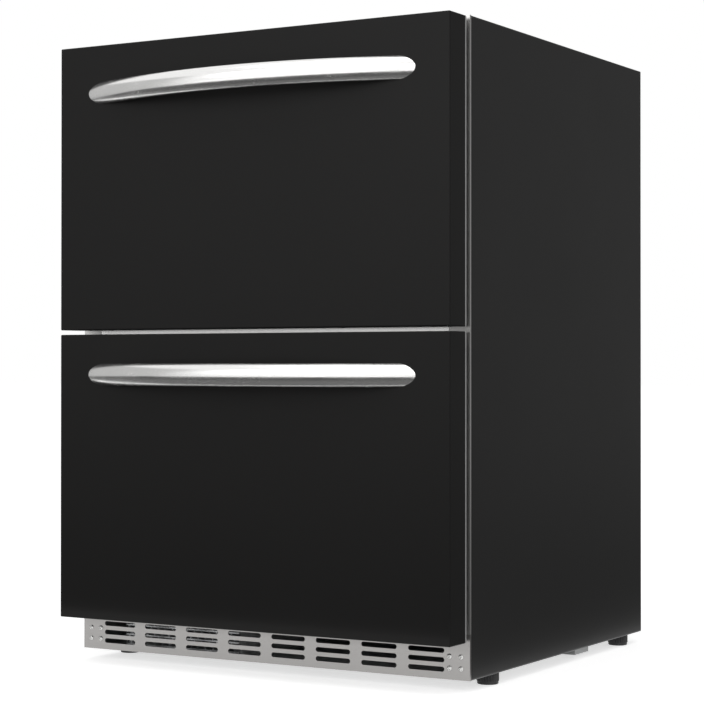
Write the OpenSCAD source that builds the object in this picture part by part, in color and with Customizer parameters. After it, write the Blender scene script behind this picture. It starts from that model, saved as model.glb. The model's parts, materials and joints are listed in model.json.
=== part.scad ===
// Undercounter refrigerator with two full-width drawers, a stainless front frame,
// bowed bar handles and a slotted kick grille. Millimetres, +Z up, front faces -Y,
// origin on the floor under the middle of the whole.

/* [Cabinet] */
// Outside width of the cabinet
cab_w = 597; // [570:1:640]
// Height of the cabinet without its feet
cab_h = 822; // [800:1:860]
// Depth of the cabinet from the front frame to the back flanges
cab_d = 552; // [530:1:600]
// Thickness of the folded cabinet sheets
sheet_t = 1.2; // [0.8:0.1:1.6]
// Outer bend radius of the side panels
bend_r = 2.5; // [2:0.1:4]
// Width of the folded flanges at the front, top and back
flange_w = 16; // [12:1:20]
// Width of the bottom flange, which carries the feet
foot_flange_w = 34; // [32:1:40]
// Gap between sheets that lie side by side
seam_gap = 0.3; // [0.2:0.05:0.6]

/* [Insulated walls] */
// Side wall, from the outside to the cavity
wall_side = 48; // [42:1:60]
// Top wall, from the outside to the cavity
wall_top = 45; // [38:1:55]
// Back wall, from the outside to the cavity
wall_back = 50; // [42:1:60]
// Foam under the cavity floor and round the compressor step
floor_foam = 31; // [24:1:36]
// Wall of the moulded liner
liner_t = 2.4; // [2:0.1:3]
// Inside corner radius of the liner
liner_r = 18; // [12:1:24]

/* [Machine space] */
// Height of the air channel under the cavity floor
channel_h = 50; // [48:1:60]
// Height of the compressor space at the back
machine_h = 227; // [215:1:245]
// Depth of the compressor space
machine_d = 192; // [186:1:205]
// Thickness of the base plate
base_t = 1.5; // [1.2:0.1:2.5]
// Upturned flange at the back of the base plate
base_flange_h = 20; // [12:1:30]

/* [Front frame] */
// Depth of the frame's folded lip, which shows on the sides
frame_lip = 3.6; // [3:0.1:5]
// Width of the frame's side bars
frame_side = 29; // [25:0.5:34]
// Width of the frame's top bar
frame_top = 34; // [28:0.5:40]
// Width of the frame's bottom bar
frame_bottom = 18.6; // [17:0.1:24]
// Height of the bar between the drawers
mullion_h = 56; // [50:1:62]
// Depth of the bar between the drawers
mullion_d = 40; // [25:1:50]

/* [Drawer fronts] */
// How far the lower front reaches down over the kick grille
front_lap = 9.1; // [5:0.1:14]
// Gap between the two drawer fronts
front_gap = 6; // [4:0.5:9]
// Step down from the cabinet top to the upper front
front_drop = 2.5; // [1:0.5:6]
// Depth of the painted skin
skin_d = 40.5; // [36:0.5:46]
// Sheet of the painted skin
skin_t = 1; // [0.8:0.1:1.5]
// Edge radius of the painted skin
skin_r = 1.6; // [1.2:0.1:3]
// Thickness of the inner panel, seen as a bright strip
panel_t = 3; // [2:0.5:4]
// How far the middle of the inner panel reaches back
panel_boss = 16; // [13:0.5:20]
// Free depth of the door gasket
gasket_t = 9.5; // [8:0.5:12]
// Width of the gasket's foot
gasket_w = 14; // [12:0.5:16]
// Gasket inset from the front's sides
gasket_in_x = 7; // [5:0.5:9]
// Gasket inset from the front's top and bottom
gasket_in_z = 12; // [9:0.5:14]
// Corner radius of the gasket
gasket_r = 8; // [6:0.5:12]
// Clearance of the inner panels to the cavity's mouth
boss_gap = 8; // [6:0.5:12]
// Corner radius of the inner panels' middle
boss_r = 16; // [10:1:20]
// Clearance of the shut gasket to the frame
gasket_gap = 0.3; // [0.2:0.05:0.4]

/* [Handles] */
// How far the bow stands out from the drawer front
handle_out = 50; // [44:1:60]
// Ends of the bow in from the front's sides
handle_in = 47.8; // [35:0.1:70]
// Height of the bar
bar_h = 29.5; // [24:0.5:34]
// Depth of the bar
bar_d = 21; // [17:0.5:24]
// Depth of the bar's flat top and bottom edges
bar_edge = 5; // [3:0.5:8]
// Upper handle: centre below the top of its front
handle_drop_upper = 64.5; // [50:0.5:80]
// Lower handle: centre below the top of its front
handle_drop_lower = 54; // [45:0.5:80]
// Handle screws in from the bow's ends
handle_screw_in = 38.7; // [36:0.1:44]
// Radius of a handle screw
handle_screw_r = 2.5; // [2:0.1:3]
// Depth of a screw hole in the bar
handle_hole_d = 9; // [7:0.5:10]

/* [Drawer bins] */
// Wall of a bin
bin_t = 1.5; // [1.2:0.1:2.5]
// Corner radius of a bin, seen from above
bin_r = 18; // [12:1:30]
// Radius between a bin's floor and its sides
bin_floor_r = 10; // [6:1:15]
// Width of the rolled rim
rim_w = 9; // [6:0.5:10]
// Thickness of the rolled rim
rim_t = 4; // [3:0.5:6]
// Free height over the upper bin, for the lamp and the controls
upper_headroom = 76.3; // [60:0.1:90]
// Free height over the lower bin
lower_headroom = 78.1; // [60:0.1:90]
// Air gap behind the upper bin
upper_bin_gap = 35.5; // [30:0.5:60]
// Air gap behind the lower bin, in front of the compressor step
lower_bin_gap = 24.5; // [20:0.5:40]
// Clearance under a bin
bin_lift = 11; // [8:1:20]

/* [Drawer slides] */
// Free length behind the slides
slide_back_gap = 33.5; // [30:0.5:60]
// Slides start behind the bin's front wall
slide_in = 2; // [1:0.5:6]
// Height of a slide
slide_h = 45; // [40:1:46]
// Total thickness of a slide
slide_w = 12.7; // [12:0.1:14]
// Sheet of the slide members
slide_t = 1.2; // [1:0.1:1.5]
// Radius of a bearing ball
ball_r = 1.9; // [1.6:0.05:2]
// Width of the inner member's flanges
slide_inner_w = 6.6; // [6.4:0.1:7]
// How far a race's edge turns back over its balls
race_lip = 1.6; // [1.2:0.1:1.8]
// Running clearance of a ball on its track
ball_gap = 0.2; // [0.15:0.05:0.3]
// Balls in each row
ball_count = 4; // [2:1:8]
// Thickness of a ball cage
cage_t = 0.8; // [0.6:0.1:1]
// Height of a ball cage
cage_h = 2.1; // [1.5:0.1:2.4]
// First ball in from the end of its slide
ball_in = 20; // [15:1:30]
// Top of a slide below the rim of its bin
slide_drop = 14; // [10:1:30]
// Least clearance of the lower slides over the compressor step
slide_step_gap = 6; // [2:1:7]

/* [Kick grille] */
// Height of the kick grille
grille_h = 57; // [52:0.5:62]
// Slots in from the grille's sides
slot_margin = 35.55; // [34:0.05:45]
// Sheet left between two slots of a row
slot_web = 16.5; // [12:0.5:24]
// Height of a slot
slot_h = 6.3; // [4:0.1:8]
// Slot columns
slot_cols = 8; // [6:2:8]
// Slot rows
slot_rows = 3; // [2:1:3]
// Distance between slot rows
slot_pitch_z = 11.7; // [9:0.1:12]
// Centre of the lowest row above the cabinet's bottom
slot_row_z = 12.1; // [9:0.1:14]
// Grille screws: outer one from the side edge
grille_screw_in = 12.5; // [11:0.5:13]
// Grille screws: distance across
grille_screw_dx = 16; // [14:0.5:17]
// Grille screws: height of the lower one
grille_screw_z = 14; // [10:0.5:18]
// Grille screws: distance up
grille_screw_dz = 14.7; // [12:0.1:20]
// Head radius of the small screws
screw_head_r = 3.5; // [3:0.1:4]
// Head height of the small screws
screw_head_h = 1.9; // [1.5:0.1:2.5]
// Shank radius of the small screws
screw_r = 1.8; // [1.5:0.1:2]
// Shank length of the small screws
screw_len = 9; // [6:0.5:12]

/* [Feet] */
// Height of a foot below the cabinet
foot_h = 15; // [12:0.5:30]
// Radius of a foot at the floor
foot_r = 13.6; // [11:0.1:16]
// Radius of a foot at its top
foot_top_r = 14.4; // [12:0.1:16]
// Edge radius of a foot's base
foot_edge_r = 1.2; // [0.8:0.1:2]
// Height of the smooth pad at the foot's base
foot_pad_h = 4; // [2:0.5:8]
// Clearance of a wound-in foot under the cabinet
foot_gap = 0.4; // [0.2:0.1:0.8]
// Ribs round a foot
foot_ribs = 24; // [12:1:36]
// Radius of the foot's threaded stem
stem_r = 5; // [4:0.5:6]
// Length of the stem above the foot
stem_len = 46; // [42:1:47]
// Foot centre in from the side
foot_in_x = 17; // [16:0.5:20]
// Front foot centre behind the front frame
foot_front_y = 83; // [60:1:120]
// Back foot centre in front of the back
foot_back_y = 49; // [35:1:70]
// Radial clearance of the stem in its nut
stem_gap = 0.05; // [0.02:0.01:0.1]
// Radius of the nut's neck through the sheets
nut_neck_r = 7; // [6.5:0.1:8]
// Height of the nut above the base plate
nut_h = 9; // [6:0.5:12]

/* [Cold parts] */
// Evaporator cover in from the cavity's sides
evap_in = 40.5; // [30:0.5:50]
// Height of the evaporator cover
evap_h = 290; // [260:1:296]
// Depth of the evaporator cover
evap_d = 60; // [55:1:66]
// Evaporator cover below the round of the cavity's ceiling
evap_gap = 2; // [1:0.5:4]
// Sheet of the evaporator cover
evap_t = 1.5; // [1:0.1:2]
// Corner radius of the evaporator cover
evap_r = 12; // [8:1:16]
// Radius of the evaporator fan's opening
evap_fan_r = 46; // [38:1:50]
// Fan's opening below the top of its cover
evap_fan_drop = 24; // [18:1:30]
// Distance between the fan guard's rings
guard_pitch = 10; // [8:0.5:12]
// Width of the guard's rings and spokes
guard_w = 2.4; // [2:0.1:3]
// Length of an air intake slot
intake_l = 28; // [20:1:30]
// Width of an air intake slot
intake_w = 6; // [4:0.5:8]
// Air intake slots
intake_count = 15; // [9:2:15]
// Distance between the intake slots
intake_pitch = 24; // [16:1:24]
// Radius of the evaporator fan's motor
evap_motor_r = 17; // [14:0.5:20]
// Evaporator fan behind the face of its cover
evap_fan_in = 20; // [18:0.5:22]
// Height of the coil block
coil_h = 120; // [90:1:130]
// Coil block above the bottom of its cover
coil_up = 34; // [30:1:40]
// Coil block in from the sides of its cover
coil_in = 40; // [34:1:60]
// Coil block in front of the cavity's back
coil_gap = 4; // [3:0.5:8]
// Tube rows of the coil
coil_rows = 4; // [3:1:5]
// Depth of the coil block
coil_d = 40; // [30:1:46]
// Thickness of a coil fin
fin_t = 0.8; // [0.5:0.1:1.2]
// Fins on the coil
fin_count = 28; // [16:1:36]

/* [Controls and lamp] */
// Width of the control panel
control_w = 170; // [140:1:200]
// Depth of the control panel
control_d = 58; // [50:1:70]
// Drop of the control panel below the cavity's ceiling
control_drop = 24; // [20:1:30]
// Control panel behind the frame
control_in = 22; // [18:1:30]
// Width of the display window
display_w = 60; // [40:1:70]
// Depth of the display window
display_d = 22; // [16:1:26]
// Depth of the display's recess
display_t = 1; // [0.5:0.1:1.5]
// Radius of a touch pad
key_r = 6; // [5:0.5:7]
// Distance between touch pads
key_pitch = 20; // [16:0.5:22]
// First touch pad from the panel's middle
key_x = 46; // [40:0.5:50]
// Length of the light bar
lamp_l = 300; // [200:5:340]
// Depth of the light bar
lamp_d = 18; // [14:0.5:24]
// Drop of the light bar below the ceiling
lamp_drop = 8; // [6:0.5:12]
// Light bar behind the control panel
lamp_gap = 18; // [10:1:30]

/* [Compressor] */
// Radius of the compressor shell
comp_r = 74; // [66:1:78]
// Height of the compressor shell
comp_shell_h = 160; // [140:1:175]
// Centre of the shell in from the right side
comp_in = 168.5; // [165:0.5:172]
// Grommets in from the shell's sides
grommet_in = 8; // [6:0.5:10]
// Radius of a grommet
grommet_r = 11; // [9:0.5:12]
// Height of a grommet
grommet_h = 14; // [12:0.5:16]
// Radius of a grommet's pin
grommet_pin_r = 3; // [2.5:0.1:4]
// Thickness of the compressor's foot strips
comp_foot_t = 3; // [2:0.1:4]
// Width of the compressor's foot strips
comp_foot_w = 32; // [30:1:36]
// Height of the weld seam round the shell
weld_h = 5; // [4:0.5:8]
// Width of the starter box
starter_w = 46; // [40:1:52]
// Depth of the starter box
starter_d = 22; // [18:1:24]
// Height of the starter box
starter_h = 50; // [40:1:60]
// Starter box above the cabinet's bottom
starter_up = 40; // [38:1:50]
// Thickness of the starter box's lid
starter_lid_t = 4; // [3:0.5:6]
// Lid in from the starter box's sides
starter_lid_in = 6; // [4:0.5:8]

/* [Condenser and its fan] */
// Baffle between inlet and outlet air, left of the middle
baffle_off = 45; // [40:1:50]
// Foot flange of the baffle
baffle_foot = 14; // [10:1:18]
// Condenser's left header in from the left side
cond_side = 51.5; // [46:0.5:80]
// Depth of the condenser
cond_d = 26; // [18:1:32]
// Condenser's right header in front of the baffle's left side
cond_gap = 12; // [10:1:16]
// Condenser behind the front frame
cond_in = 24; // [20:1:30]
// Flat tubes of the condenser
cond_tubes = 4; // [3:1:5]
// Thickness of a flat tube
flat_tube_t = 2; // [1.5:0.1:2.5]
// Radius of a header
header_r = 6; // [5:0.5:8]
// Zigzag pitch of the condenser's fins
zigzag_pitch = 12; // [8:0.5:16]
// Thickness of the zigzag fins
zigzag_t = 1; // [0.8:0.1:1.5]
// Radius of the condenser fan's opening
fan_hole_r = 76; // [65:1:80]
// Tip clearance of both fans
fan_gap = 4; // [2:0.5:8]
// Height of the condenser fan's centre above the cabinet's bottom
fan_up = 116; // [110:1:120]
// Hub radius of the condenser fan
fan_hub_r = 18; // [14:0.5:22]
// Hub length of the condenser fan
fan_hub_h = 20; // [16:0.5:24]
// Hub radius of the evaporator fan
evap_hub_r = 12; // [10:0.5:14]
// Hub length of the evaporator fan
evap_hub_h = 14; // [12:0.5:16]
// Thickness of a fan's blades
blade_t = 2; // [1.5:0.1:3]
// Blades of each fan
blade_count = 5; // [3:1:7]
// Tilt of the blades, in degrees
blade_tilt = 24; // [15:1:30]
// Radius of the fan shafts
fan_shaft_r = 3; // [2:0.1:4]
// Radius of the condenser fan's motor
motor_r = 28; // [22:1:32]
// Length of the condenser fan's motor
motor_len = 42; // [36:1:46]
// Width of the motor's arms
arm_w = 14; // [10:1:18]
// Thickness of the motor's arms
arm_t = 3; // [2:0.1:4]
// Refrigerant tube radius
tube_r = 4; // [3:0.5:5]
// Drain tube radius
drain_r = 6; // [5:0.5:7]
// Clearance of a tube in a hole
tube_gap = 0.3; // [0.2:0.1:0.6]
// Radius of the filter drier
drier_r = 11; // [9:0.5:13]
// Length of the filter drier with its necks
drier_len = 120; // [100:1:130]
// Length of a neck of the filter drier
drier_neck = 12; // [8:1:16]
// Filter drier behind the condenser's face
drier_in = 55; // [45:1:65]
// Centre of the low tubes above the cabinet's bottom
tube_up = 22; // [20:0.5:26]
// Discharge line in front of the compressor step
discharge_in = 50; // [40:1:60]
// Suction line in from the right side where it climbs
riser_in = 102.5; // [100:0.5:106]
// Drain tube in from the right side where it climbs
drain_in = 128.5; // [124:0.5:132]

/* [Drain pan] */
// Width of the drain pan
pan_w = 72; // [60:1:76]
// Depth of the drain pan
pan_d = 144; // [120:1:150]
// Height of the drain pan
pan_h = 20; // [14:1:24]
// Wall of the drain pan
pan_t = 2; // [1.5:0.1:3]
// Drain pan in from the right side
pan_in_x = 10; // [8:0.5:14]
// Drain pan in front of the cabinet's back
pan_in_y = 86; // [80:1:90]
// Width of the pan's sump
sump_w = 25; // [20:0.5:30]
// Depth of the pan's sump, front to back
sump_d = 45; // [40:0.5:60]
// Sump in from the pan's right side
sump_in_x = 1.5; // [1:0.1:4]
// Sump in from the pan's front side
sump_in_y = 18; // [10:0.5:30]
// Drain tube's end in from the pan's back side
drip_in = 22; // [16:1:40]
// Drop of the sump below the cabinet
sump_drop = 10; // [6:0.5:11]

/* [Rear cover] */
// Length of a vent slot
vent_l = 22; // [16:1:25]
// Height of a vent slot
vent_h = 5; // [3:0.5:6]
// Distance between vent columns
vent_pitch_x = 30; // [28:0.5:32]
// Distance between vent rows
vent_pitch_z = 32; // [20:1:34]
// Lowest vent row above the cabinet's bottom
vent_up = 48; // [44:1:52]
// Rear screws: lowest and highest in from the cover's ends
rear_screw_in = 32; // [28:1:34]
// Bore radius of the cord inlet
inlet_bore_r = 4; // [3:0.5:5]
// Neck radius of the cord inlet
inlet_neck_r = 8; // [7:0.5:9]
// Flange radius of the cord inlet
inlet_flange_r = 11; // [10:0.5:13]
// Length of the inlet's neck inside the cover
inlet_len = 16; // [12:1:20]
// Inlet in from the left side
inlet_in = 98.5; // [95:0.5:105]
// Inlet above the cabinet's bottom
inlet_up = 62; // [56:1:66]

/* [Hidden] */
$fn = 48;
over = 1; // how far a cutting shape runs past what it cuts
pipe_bend = 2; // bend radius of a pipe over its own radius
swell = 1.06; // radius of a bend over its pipe's

// Planes of the whole. The rear screw heads and the handles are its outermost points.
front_d = skin_d + panel_t + gasket_t;
total_d = handle_out + front_d + cab_d + screw_head_h;
hw = cab_w / 2;
y_face = -total_d / 2 + handle_out;
y_cab = y_face + front_d;
y_back = y_cab + cab_d;
z0 = foot_h;
z1 = foot_h + cab_h;
y_side = y_cab + frame_lip; // the side panels start behind the frame's lip
in_w = hw - sheet_t; // inside face of a side panel
nest_w = hw - bend_r - seam_gap; // half width of a sheet that lies in the side panels' folds
y_cover = y_back - 2 * sheet_t; // inside face of the back panel and the rear cover

// Cavity
cav_x = hw - wall_side;
cav_top = z1 - wall_top;
cav_back = y_back - wall_back;
y_step = y_back - 2 * sheet_t - machine_d; // machine side of the step's front wall
floor_z = z0 + channel_h;
step_z = z0 + machine_h;
cav_floor = floor_z + sheet_t + floor_foam + liner_t;
cav_step_y = y_step - sheet_t - floor_foam - liner_t;
cav_step_z = step_z + sheet_t + floor_foam + liner_t;

// Fronts
front_h = (cab_h - front_drop - front_gap - grille_h + front_lap) / 2;
upper_top = z1 - front_drop;
upper_bottom = upper_top - front_h;
lower_top = upper_bottom - front_gap;
lower_bottom = lower_top - front_h;
upper_z = (upper_top + upper_bottom) / 2;
lower_z = (lower_top + lower_bottom) / 2;
mullion_z = (upper_bottom + lower_top) / 2;

// Frame opening
frame_z0 = z0 + grille_h + seam_gap;
open_z0 = frame_z0 + frame_bottom;
open_z1 = z1 - frame_top;
open_x = hw - frame_side;

// Handles: the outer face is an arc through both ends and the middle of the bow
handle_half = hw - handle_in;
handle_screw_x = handle_half - handle_screw_in;
bow_r = (handle_half * handle_half + handle_out * handle_out) / (2 * handle_out);
bow_y = y_face - handle_out + bow_r;
upper_handle_z = upper_top - handle_drop_upper;
lower_handle_z = lower_top - handle_drop_lower;

// Bins and slides
bin_front = y_cab + panel_boss - gasket_t;
bin_x = cav_x - slide_w;
upper_bin_z = mullion_z + mullion_h / 2 + bin_lift;
lower_bin_z = cav_floor + bin_lift;
upper_rim = cav_top - upper_headroom;
lower_rim = max(mullion_z - mullion_h / 2 - lower_headroom,
    cav_step_z + slide_step_gap + slide_h + slide_drop);
upper_bin_h = upper_rim - upper_bin_z;
lower_bin_h = lower_rim - lower_bin_z;
upper_bin_d = cav_back - evap_d - upper_bin_gap - bin_front;
lower_bin_d = cav_step_y - lower_bin_gap - bin_front;
upper_slide_z = upper_rim - slide_drop - slide_h / 2;
lower_slide_z = lower_rim - slide_drop - slide_h / 2;
slide_y = bin_front + slide_in;
slide_len = cav_back - evap_d - slide_back_gap - slide_y; // also the drawers' travel
ball_sink = 0.1; // a ball sits this much into the member that carries it
ball_room = slide_t + 2 * ball_r - ball_sink + ball_gap; // a row of balls and the race over it
mid_h = slide_h - 2 * ball_room; // height of the middle member
in_h = mid_h - 2 * ball_room; // height of the inner member
ball_u = slide_w - slide_inner_w + slide_t; // centre of the balls from the wall
edge_u = slide_w - slide_t - over; // edge of the rail's flanges from the wall

// Feet
foot_x = hw - foot_in_x;
foot_ys = [y_cab + foot_front_y, y_back - foot_back_y];
base_z = z0 + sheet_t; // underside of the base plate
deck_z = base_z + base_t; // top of the base plate

// Evaporator
evap_w = 2 * (cav_x - evap_in);
evap_z = cav_top - liner_r - evap_gap - evap_h;
evap_y = cav_back - evap_d;
evap_fan_z = evap_z + evap_h - evap_fan_r - evap_fan_drop;
evap_fan_y = evap_y + evap_fan_in;
coil_w = evap_w - 2 * coil_in;

// Compressor, condenser and fan
suction_angle = 30; // where the lines leave the compressor
suction_up = 110;
discharge_angle = 225;
discharge_up = 36;
suction_rise = 30; // how far the suction line climbs on its way to the back wall
discharge_run = 60; // the discharge line's runs before it follows the step
drain_knees = [185, 90, 60]; // heights of the drain tube's bends above the cabinet's bottom
baffle_x = -baffle_off;
comp_x = hw - comp_in;
comp_y = y_cover - machine_d / 2;
comp_z = deck_z + grommet_h; // underside of the compressor's feet
grommet_x = comp_r - grommet_in; // grommets from the shell's axis
fan_z = z0 + fan_up;
fan_y = comp_y;
cond_w = hw - baffle_off - cond_gap - cond_side;
cond_x = baffle_x - cond_gap - cond_w / 2;
cond_y = y_side + cond_in;
cond_z0 = deck_z + flat_tube_t;
cond_z1 = floor_z - 2 * flat_tube_t;

// Tubes
tube_z = z0 + tube_up;
discharge_y = y_step - discharge_in;
riser_x = hw - riser_in;
drain_x = hw - drain_in;
riser_y = y_back - wall_back / 2;
riser_z = evap_z + 3 * coil_up; // where the suction line enters the cavity
drain_z = evap_z + coil_up / 2; // where the drain tube leaves the cavity

// Drain pan and its sump: [x from, x to, y from, y to]
pan_x1 = hw - pan_in_x;
pan_y1 = y_back - pan_in_y;
pan = [pan_x1 - pan_w, pan_x1, pan_y1 - pan_d, pan_y1];
sump = [pan[1] - sump_in_x - sump_w, pan[1] - sump_in_x,
    pan[2] + sump_in_y, pan[2] + sump_in_y + sump_d];
drip = [(pan[0] + pan[1]) / 2, pan[3] - drip_in]; // where the drain tube drips into the pan

// Rear cover
inlet_x = inlet_in - hw;
inlet_z = z0 + inlet_up;
rear_screw_zs = [z0 + rear_screw_in, z0 + machine_h / 2, z0 + machine_h - rear_screw_in / 2];
rear_screw_x = hw - flange_w / 2;

// ---------- helpers ----------
module box(x0, x1, y0, y1, za, zb) {
    translate([x0, y0, za]) cube([x1 - x0, y1 - y0, zb - za]);
}

// A flat x-z outline that runs along +Y from y
module along_y(y, len) {
    translate([0, y + len, 0]) rotate([90, 0, 0]) linear_extrude(height = len) children();
}

// A flat y-z outline that runs along +X from x
module along_x(x, len) {
    translate([x, 0, 0]) rotate([90, 0, 90]) linear_extrude(height = len) children();
}

module rod_x(x, y, z, r, len) translate([x, y, z]) rotate([0, 90, 0]) cylinder(r = r, h = len);
module rod_y(x, y, z, r, len) translate([x, y, z]) rotate([-90, 0, 0]) cylinder(r = r, h = len);
module rod_z(x, y, z, r, len) translate([x, y, z]) cylinder(r = r, h = len);

// Rounded rectangle about the origin
module rrect(w, h, r) {
    square([w - 2 * r, h], center = true);
    square([w, h - 2 * r], center = true);
    for (sx = [-1, 1], sy = [-1, 1])
        translate([sx * (w / 2 - r), sy * (h / 2 - r)]) circle(r = r);
}

// Rectangle from the origin with round corners on its +X side
module tray_2d(w, l, r) {
    square([w - r, l]);
    translate([0, r]) square([w, l - 2 * r]);
    for (y = [r, l - r]) translate([w - r, y]) circle(r = r);
}

function unit(v) = v / norm(v);

// Points of the arc of n steps that rounds corner b between a and c
function corner_arc(a, b, c, r, n) =
    let (u = unit(a - b), w = unit(c - b), half = acos(u * w) / 2)
    let (o = b + unit(u + w) * (r / sin(half)))
    let (p = b + u * (r / tan(half)) - o, q = b + w * (r / tan(half)) - o)
    let (a0 = atan2(p[1], p[0]), turn = atan2(q[1], q[0]) - a0)
    let (da = turn > 180 ? turn - 360 : turn < -180 ? turn + 360 : turn)
    [for (i = [0:n]) o + r * [cos(a0 + da * i / n), sin(a0 + da * i / n)]];

// Outline with a radius at each corner
function rounded(pts, radii, n = 6) =
    let (m = len(pts))
    [for (i = [0:m - 1])
        each radii[i] > 0
            ? corner_arc(pts[(i + m - 1) % m], pts[i], pts[(i + 1) % m], radii[i], n)
            : [pts[i]]];

// Half the turn of a pipe at corner i, in degrees
function half_turn(pts, i) = acos(unit(pts[i] - pts[i - 1]) * unit(pts[i + 1] - pts[i])) / 2;

// How much of a run a bend of radius b takes at corner i; none at the pipe's ends
function bend_len(pts, i, b) = i == 0 || i == len(pts) - 1 ? 0 : b * tan(half_turn(pts, i));

// A pipe of radius r along straight runs, with a bend of radius b at each corner. The bends
// are a little wider than the runs, which end inside them.
module pipe(pts, r, b) {
    last = len(pts) - 1;
    for (i = [0:last - 1]) {
        d = unit(pts[i + 1] - pts[i]);
        start = i == 0 ? 0 : bend_len(pts, i, b) - seam_gap;
        end = i + 1 == last ? 0 : bend_len(pts, i + 1, b) - seam_gap;
        translate(pts[i] + d * start) rotate([0, acos(d[2]), atan2(d[1], d[0])])
            rotate(90) cylinder(r = r, h = norm(pts[i + 1] - pts[i]) - start - end);
    }
    for (i = [1:1:len(pts) - 2]) {
        u = unit(pts[i] - pts[i - 1]);
        w = unit(pts[i + 1] - pts[i]);
        n = unit(w - u * (u * w)); // from the bend's start to its centre
        k = cross(-n, u);
        c = pts[i] - u * bend_len(pts, i, b) + n * b;
        multmatrix([[-n[0], u[0], k[0], c[0]], [-n[1], u[1], k[1], c[1]], [-n[2], u[2], k[2], c[2]]])
            rotate_extrude(angle = 2 * half_turn(pts, i)) translate([b, 0]) circle(r = swell * r);
    }
}

// Pan-head screw: the head's underside is at the origin, the shank runs along +Z
module screw(head_r, head_h, r, len) {
    rotate_extrude() polygon(rounded(
        [[0, -head_h], [head_r, -head_h], [head_r, 0], [r, 0], [r, len - r], [0, len]],
        [0, head_h * 0.8, 0, 0, 0, 0]));
}

// ---------- cabinet shell ----------
module side_block(inset) {
    len_y = y_back - y_side - 2 * inset;
    past = inset > 0 ? over : 0;
    intersection() {
        translate([hw - flange_w - past, y_side + inset, z0])
            linear_extrude(height = cab_h) tray_2d(flange_w + past - inset, len_y, bend_r - inset);
        translate([hw - flange_w - past, 0, z0 + inset])
            along_y(y_side, y_back - y_side)
                tray_2d(flange_w + past - inset, cab_h - 2 * inset, bend_r - inset);
    }
}

module side_panel() {
    inner_x = hw - foot_flange_w;
    difference() {
        union() {
            difference() {
                side_block(0);
                side_block(sheet_t);
            }
            box(inner_x, in_w, y_side, y_back - bend_r, z0, base_z);
            box(inner_x, in_w, y_side, y_side + sheet_t, z0, z0 + grille_h);
        }
        for (y = foot_ys) rod_z(foot_x, y, z0 - over, nut_neck_r + tube_gap, sheet_t + 2 * over);
        for (x = grille_screw_xs(), z = grille_screw_zs())
            rod_y(x, y_side - over, z, screw_r + stem_gap, sheet_t + 2 * over);
        for (z = rear_screw_zs)
            rod_y(rear_screw_x, y_back - sheet_t - over, z, screw_r + stem_gap, sheet_t + 2 * over);
    }
}

function grille_screw_xs() = [for (i = [0, 1]) hw - grille_screw_in - i * grille_screw_dx];
function grille_screw_zs() = [for (i = [0, 1]) z0 + grille_screw_z + i * grille_screw_dz];

// The drain pan's sump hangs through the right panel's bottom flange
module right_side_panel() color("#1b1b1d") difference() {
    side_panel();
    sump_hole();
}
module left_side_panel() color("#1b1b1d") mirror([1, 0, 0]) side_panel();

module top_panel() color("#1d1d1f") {
    mid = hw - flange_w - seam_gap;
    box(-nest_w, nest_w, y_side + bend_r, y_back - bend_r, z1 - 2 * sheet_t, z1 - sheet_t);
    box(-mid, mid, y_cab + sheet_t, y_back, z1 - 2 * sheet_t, z1 - sheet_t);
    box(-mid, mid, y_back - sheet_t, y_back, z1 - flange_w, z1 - sheet_t);
}

module back_panel() color("#9a9ca0") {
    w = nest_w;
    difference() {
        box(-w, w, y_cover, y_back - sheet_t, step_z + sheet_t + seam_gap, z1 - 2 * sheet_t);
        // two pressed grooves keep the sheet flat
        for (s = [-1, 1])
            box(s * w / 2 - flange_w, s * w / 2 + flange_w, y_back - 1.5 * sheet_t, y_back,
                step_z + wall_back, z1 - wall_back);
    }
}

module base_plate() color("#8f9296") {
    w = nest_w;
    difference() {
        union() {
            box(-w, w, y_side + sheet_t, y_cover, base_z, deck_z);
            box(-w, w, y_cover - base_t, y_cover, base_z, base_z + base_flange_h);
        }
        for (s = [-1, 1], y = foot_ys)
            rod_z(s * foot_x, y, base_z - over, nut_neck_r + tube_gap, base_t + 2 * over);
        sump_hole();
        for (p = grommet_points())
            rod_z(p[0], p[1], base_z - over, grommet_pin_r + stem_gap, base_t + 2 * over);
    }
}

module sump_hole() {
    box(sump[0] - tube_gap, sump[1] + tube_gap, sump[2] - tube_gap, sump[3] + tube_gap,
        z0 - over, deck_z + over);
}

function grommet_points() =
    [for (sx = [-1, 1], sy = [-1, 1]) [comp_x + sx * grommet_x, comp_y + sy * grommet_x]];

// ---------- stainless front ----------
module lip_frame(za, zb, lip_top, lip_bottom) {
    difference() {
        box(-hw, hw, y_cab, y_side, za, zb);
        box(-in_w, in_w, y_cab + sheet_t, y_side + over,
            lip_bottom ? za + sheet_t : za - over, lip_top ? zb - sheet_t : zb + over);
    }
}

module front_frame() color("#c9cacb") difference() {
    lip_frame(frame_z0, z1, true, false);
    box(-open_x, open_x, y_cab - over, y_side + over, open_z0, open_z1);
}

module centre_mullion() color("#cfd0d2") {
    x_plate = open_x - seam_gap;
    x_bar = cav_x - seam_gap;
    za = mullion_z - mullion_h / 2;
    zb = mullion_z + mullion_h / 2;
    box(-x_plate, x_plate, y_cab, y_cab + sheet_t, za, zb);
    difference() {
        box(-x_bar, x_bar, y_cab, y_cab + mullion_d, za, zb);
        box(-x_bar + sheet_t, x_bar - sheet_t, y_cab + sheet_t, y_cab + mullion_d - sheet_t,
            za + sheet_t, zb - sheet_t);
        box(-x_bar + 2 * liner_r, x_bar - 2 * liner_r, y_cab + 2 * sheet_t,
            y_cab + mullion_d + over, za + mullion_h / 4, zb - mullion_h / 4);
    }
}

module slot_2d(l, h) {
    square([l - h, h], center = true);
    for (s = [-1, 1]) translate([s * (l - h) / 2, 0]) circle(r = h / 2);
}

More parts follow.
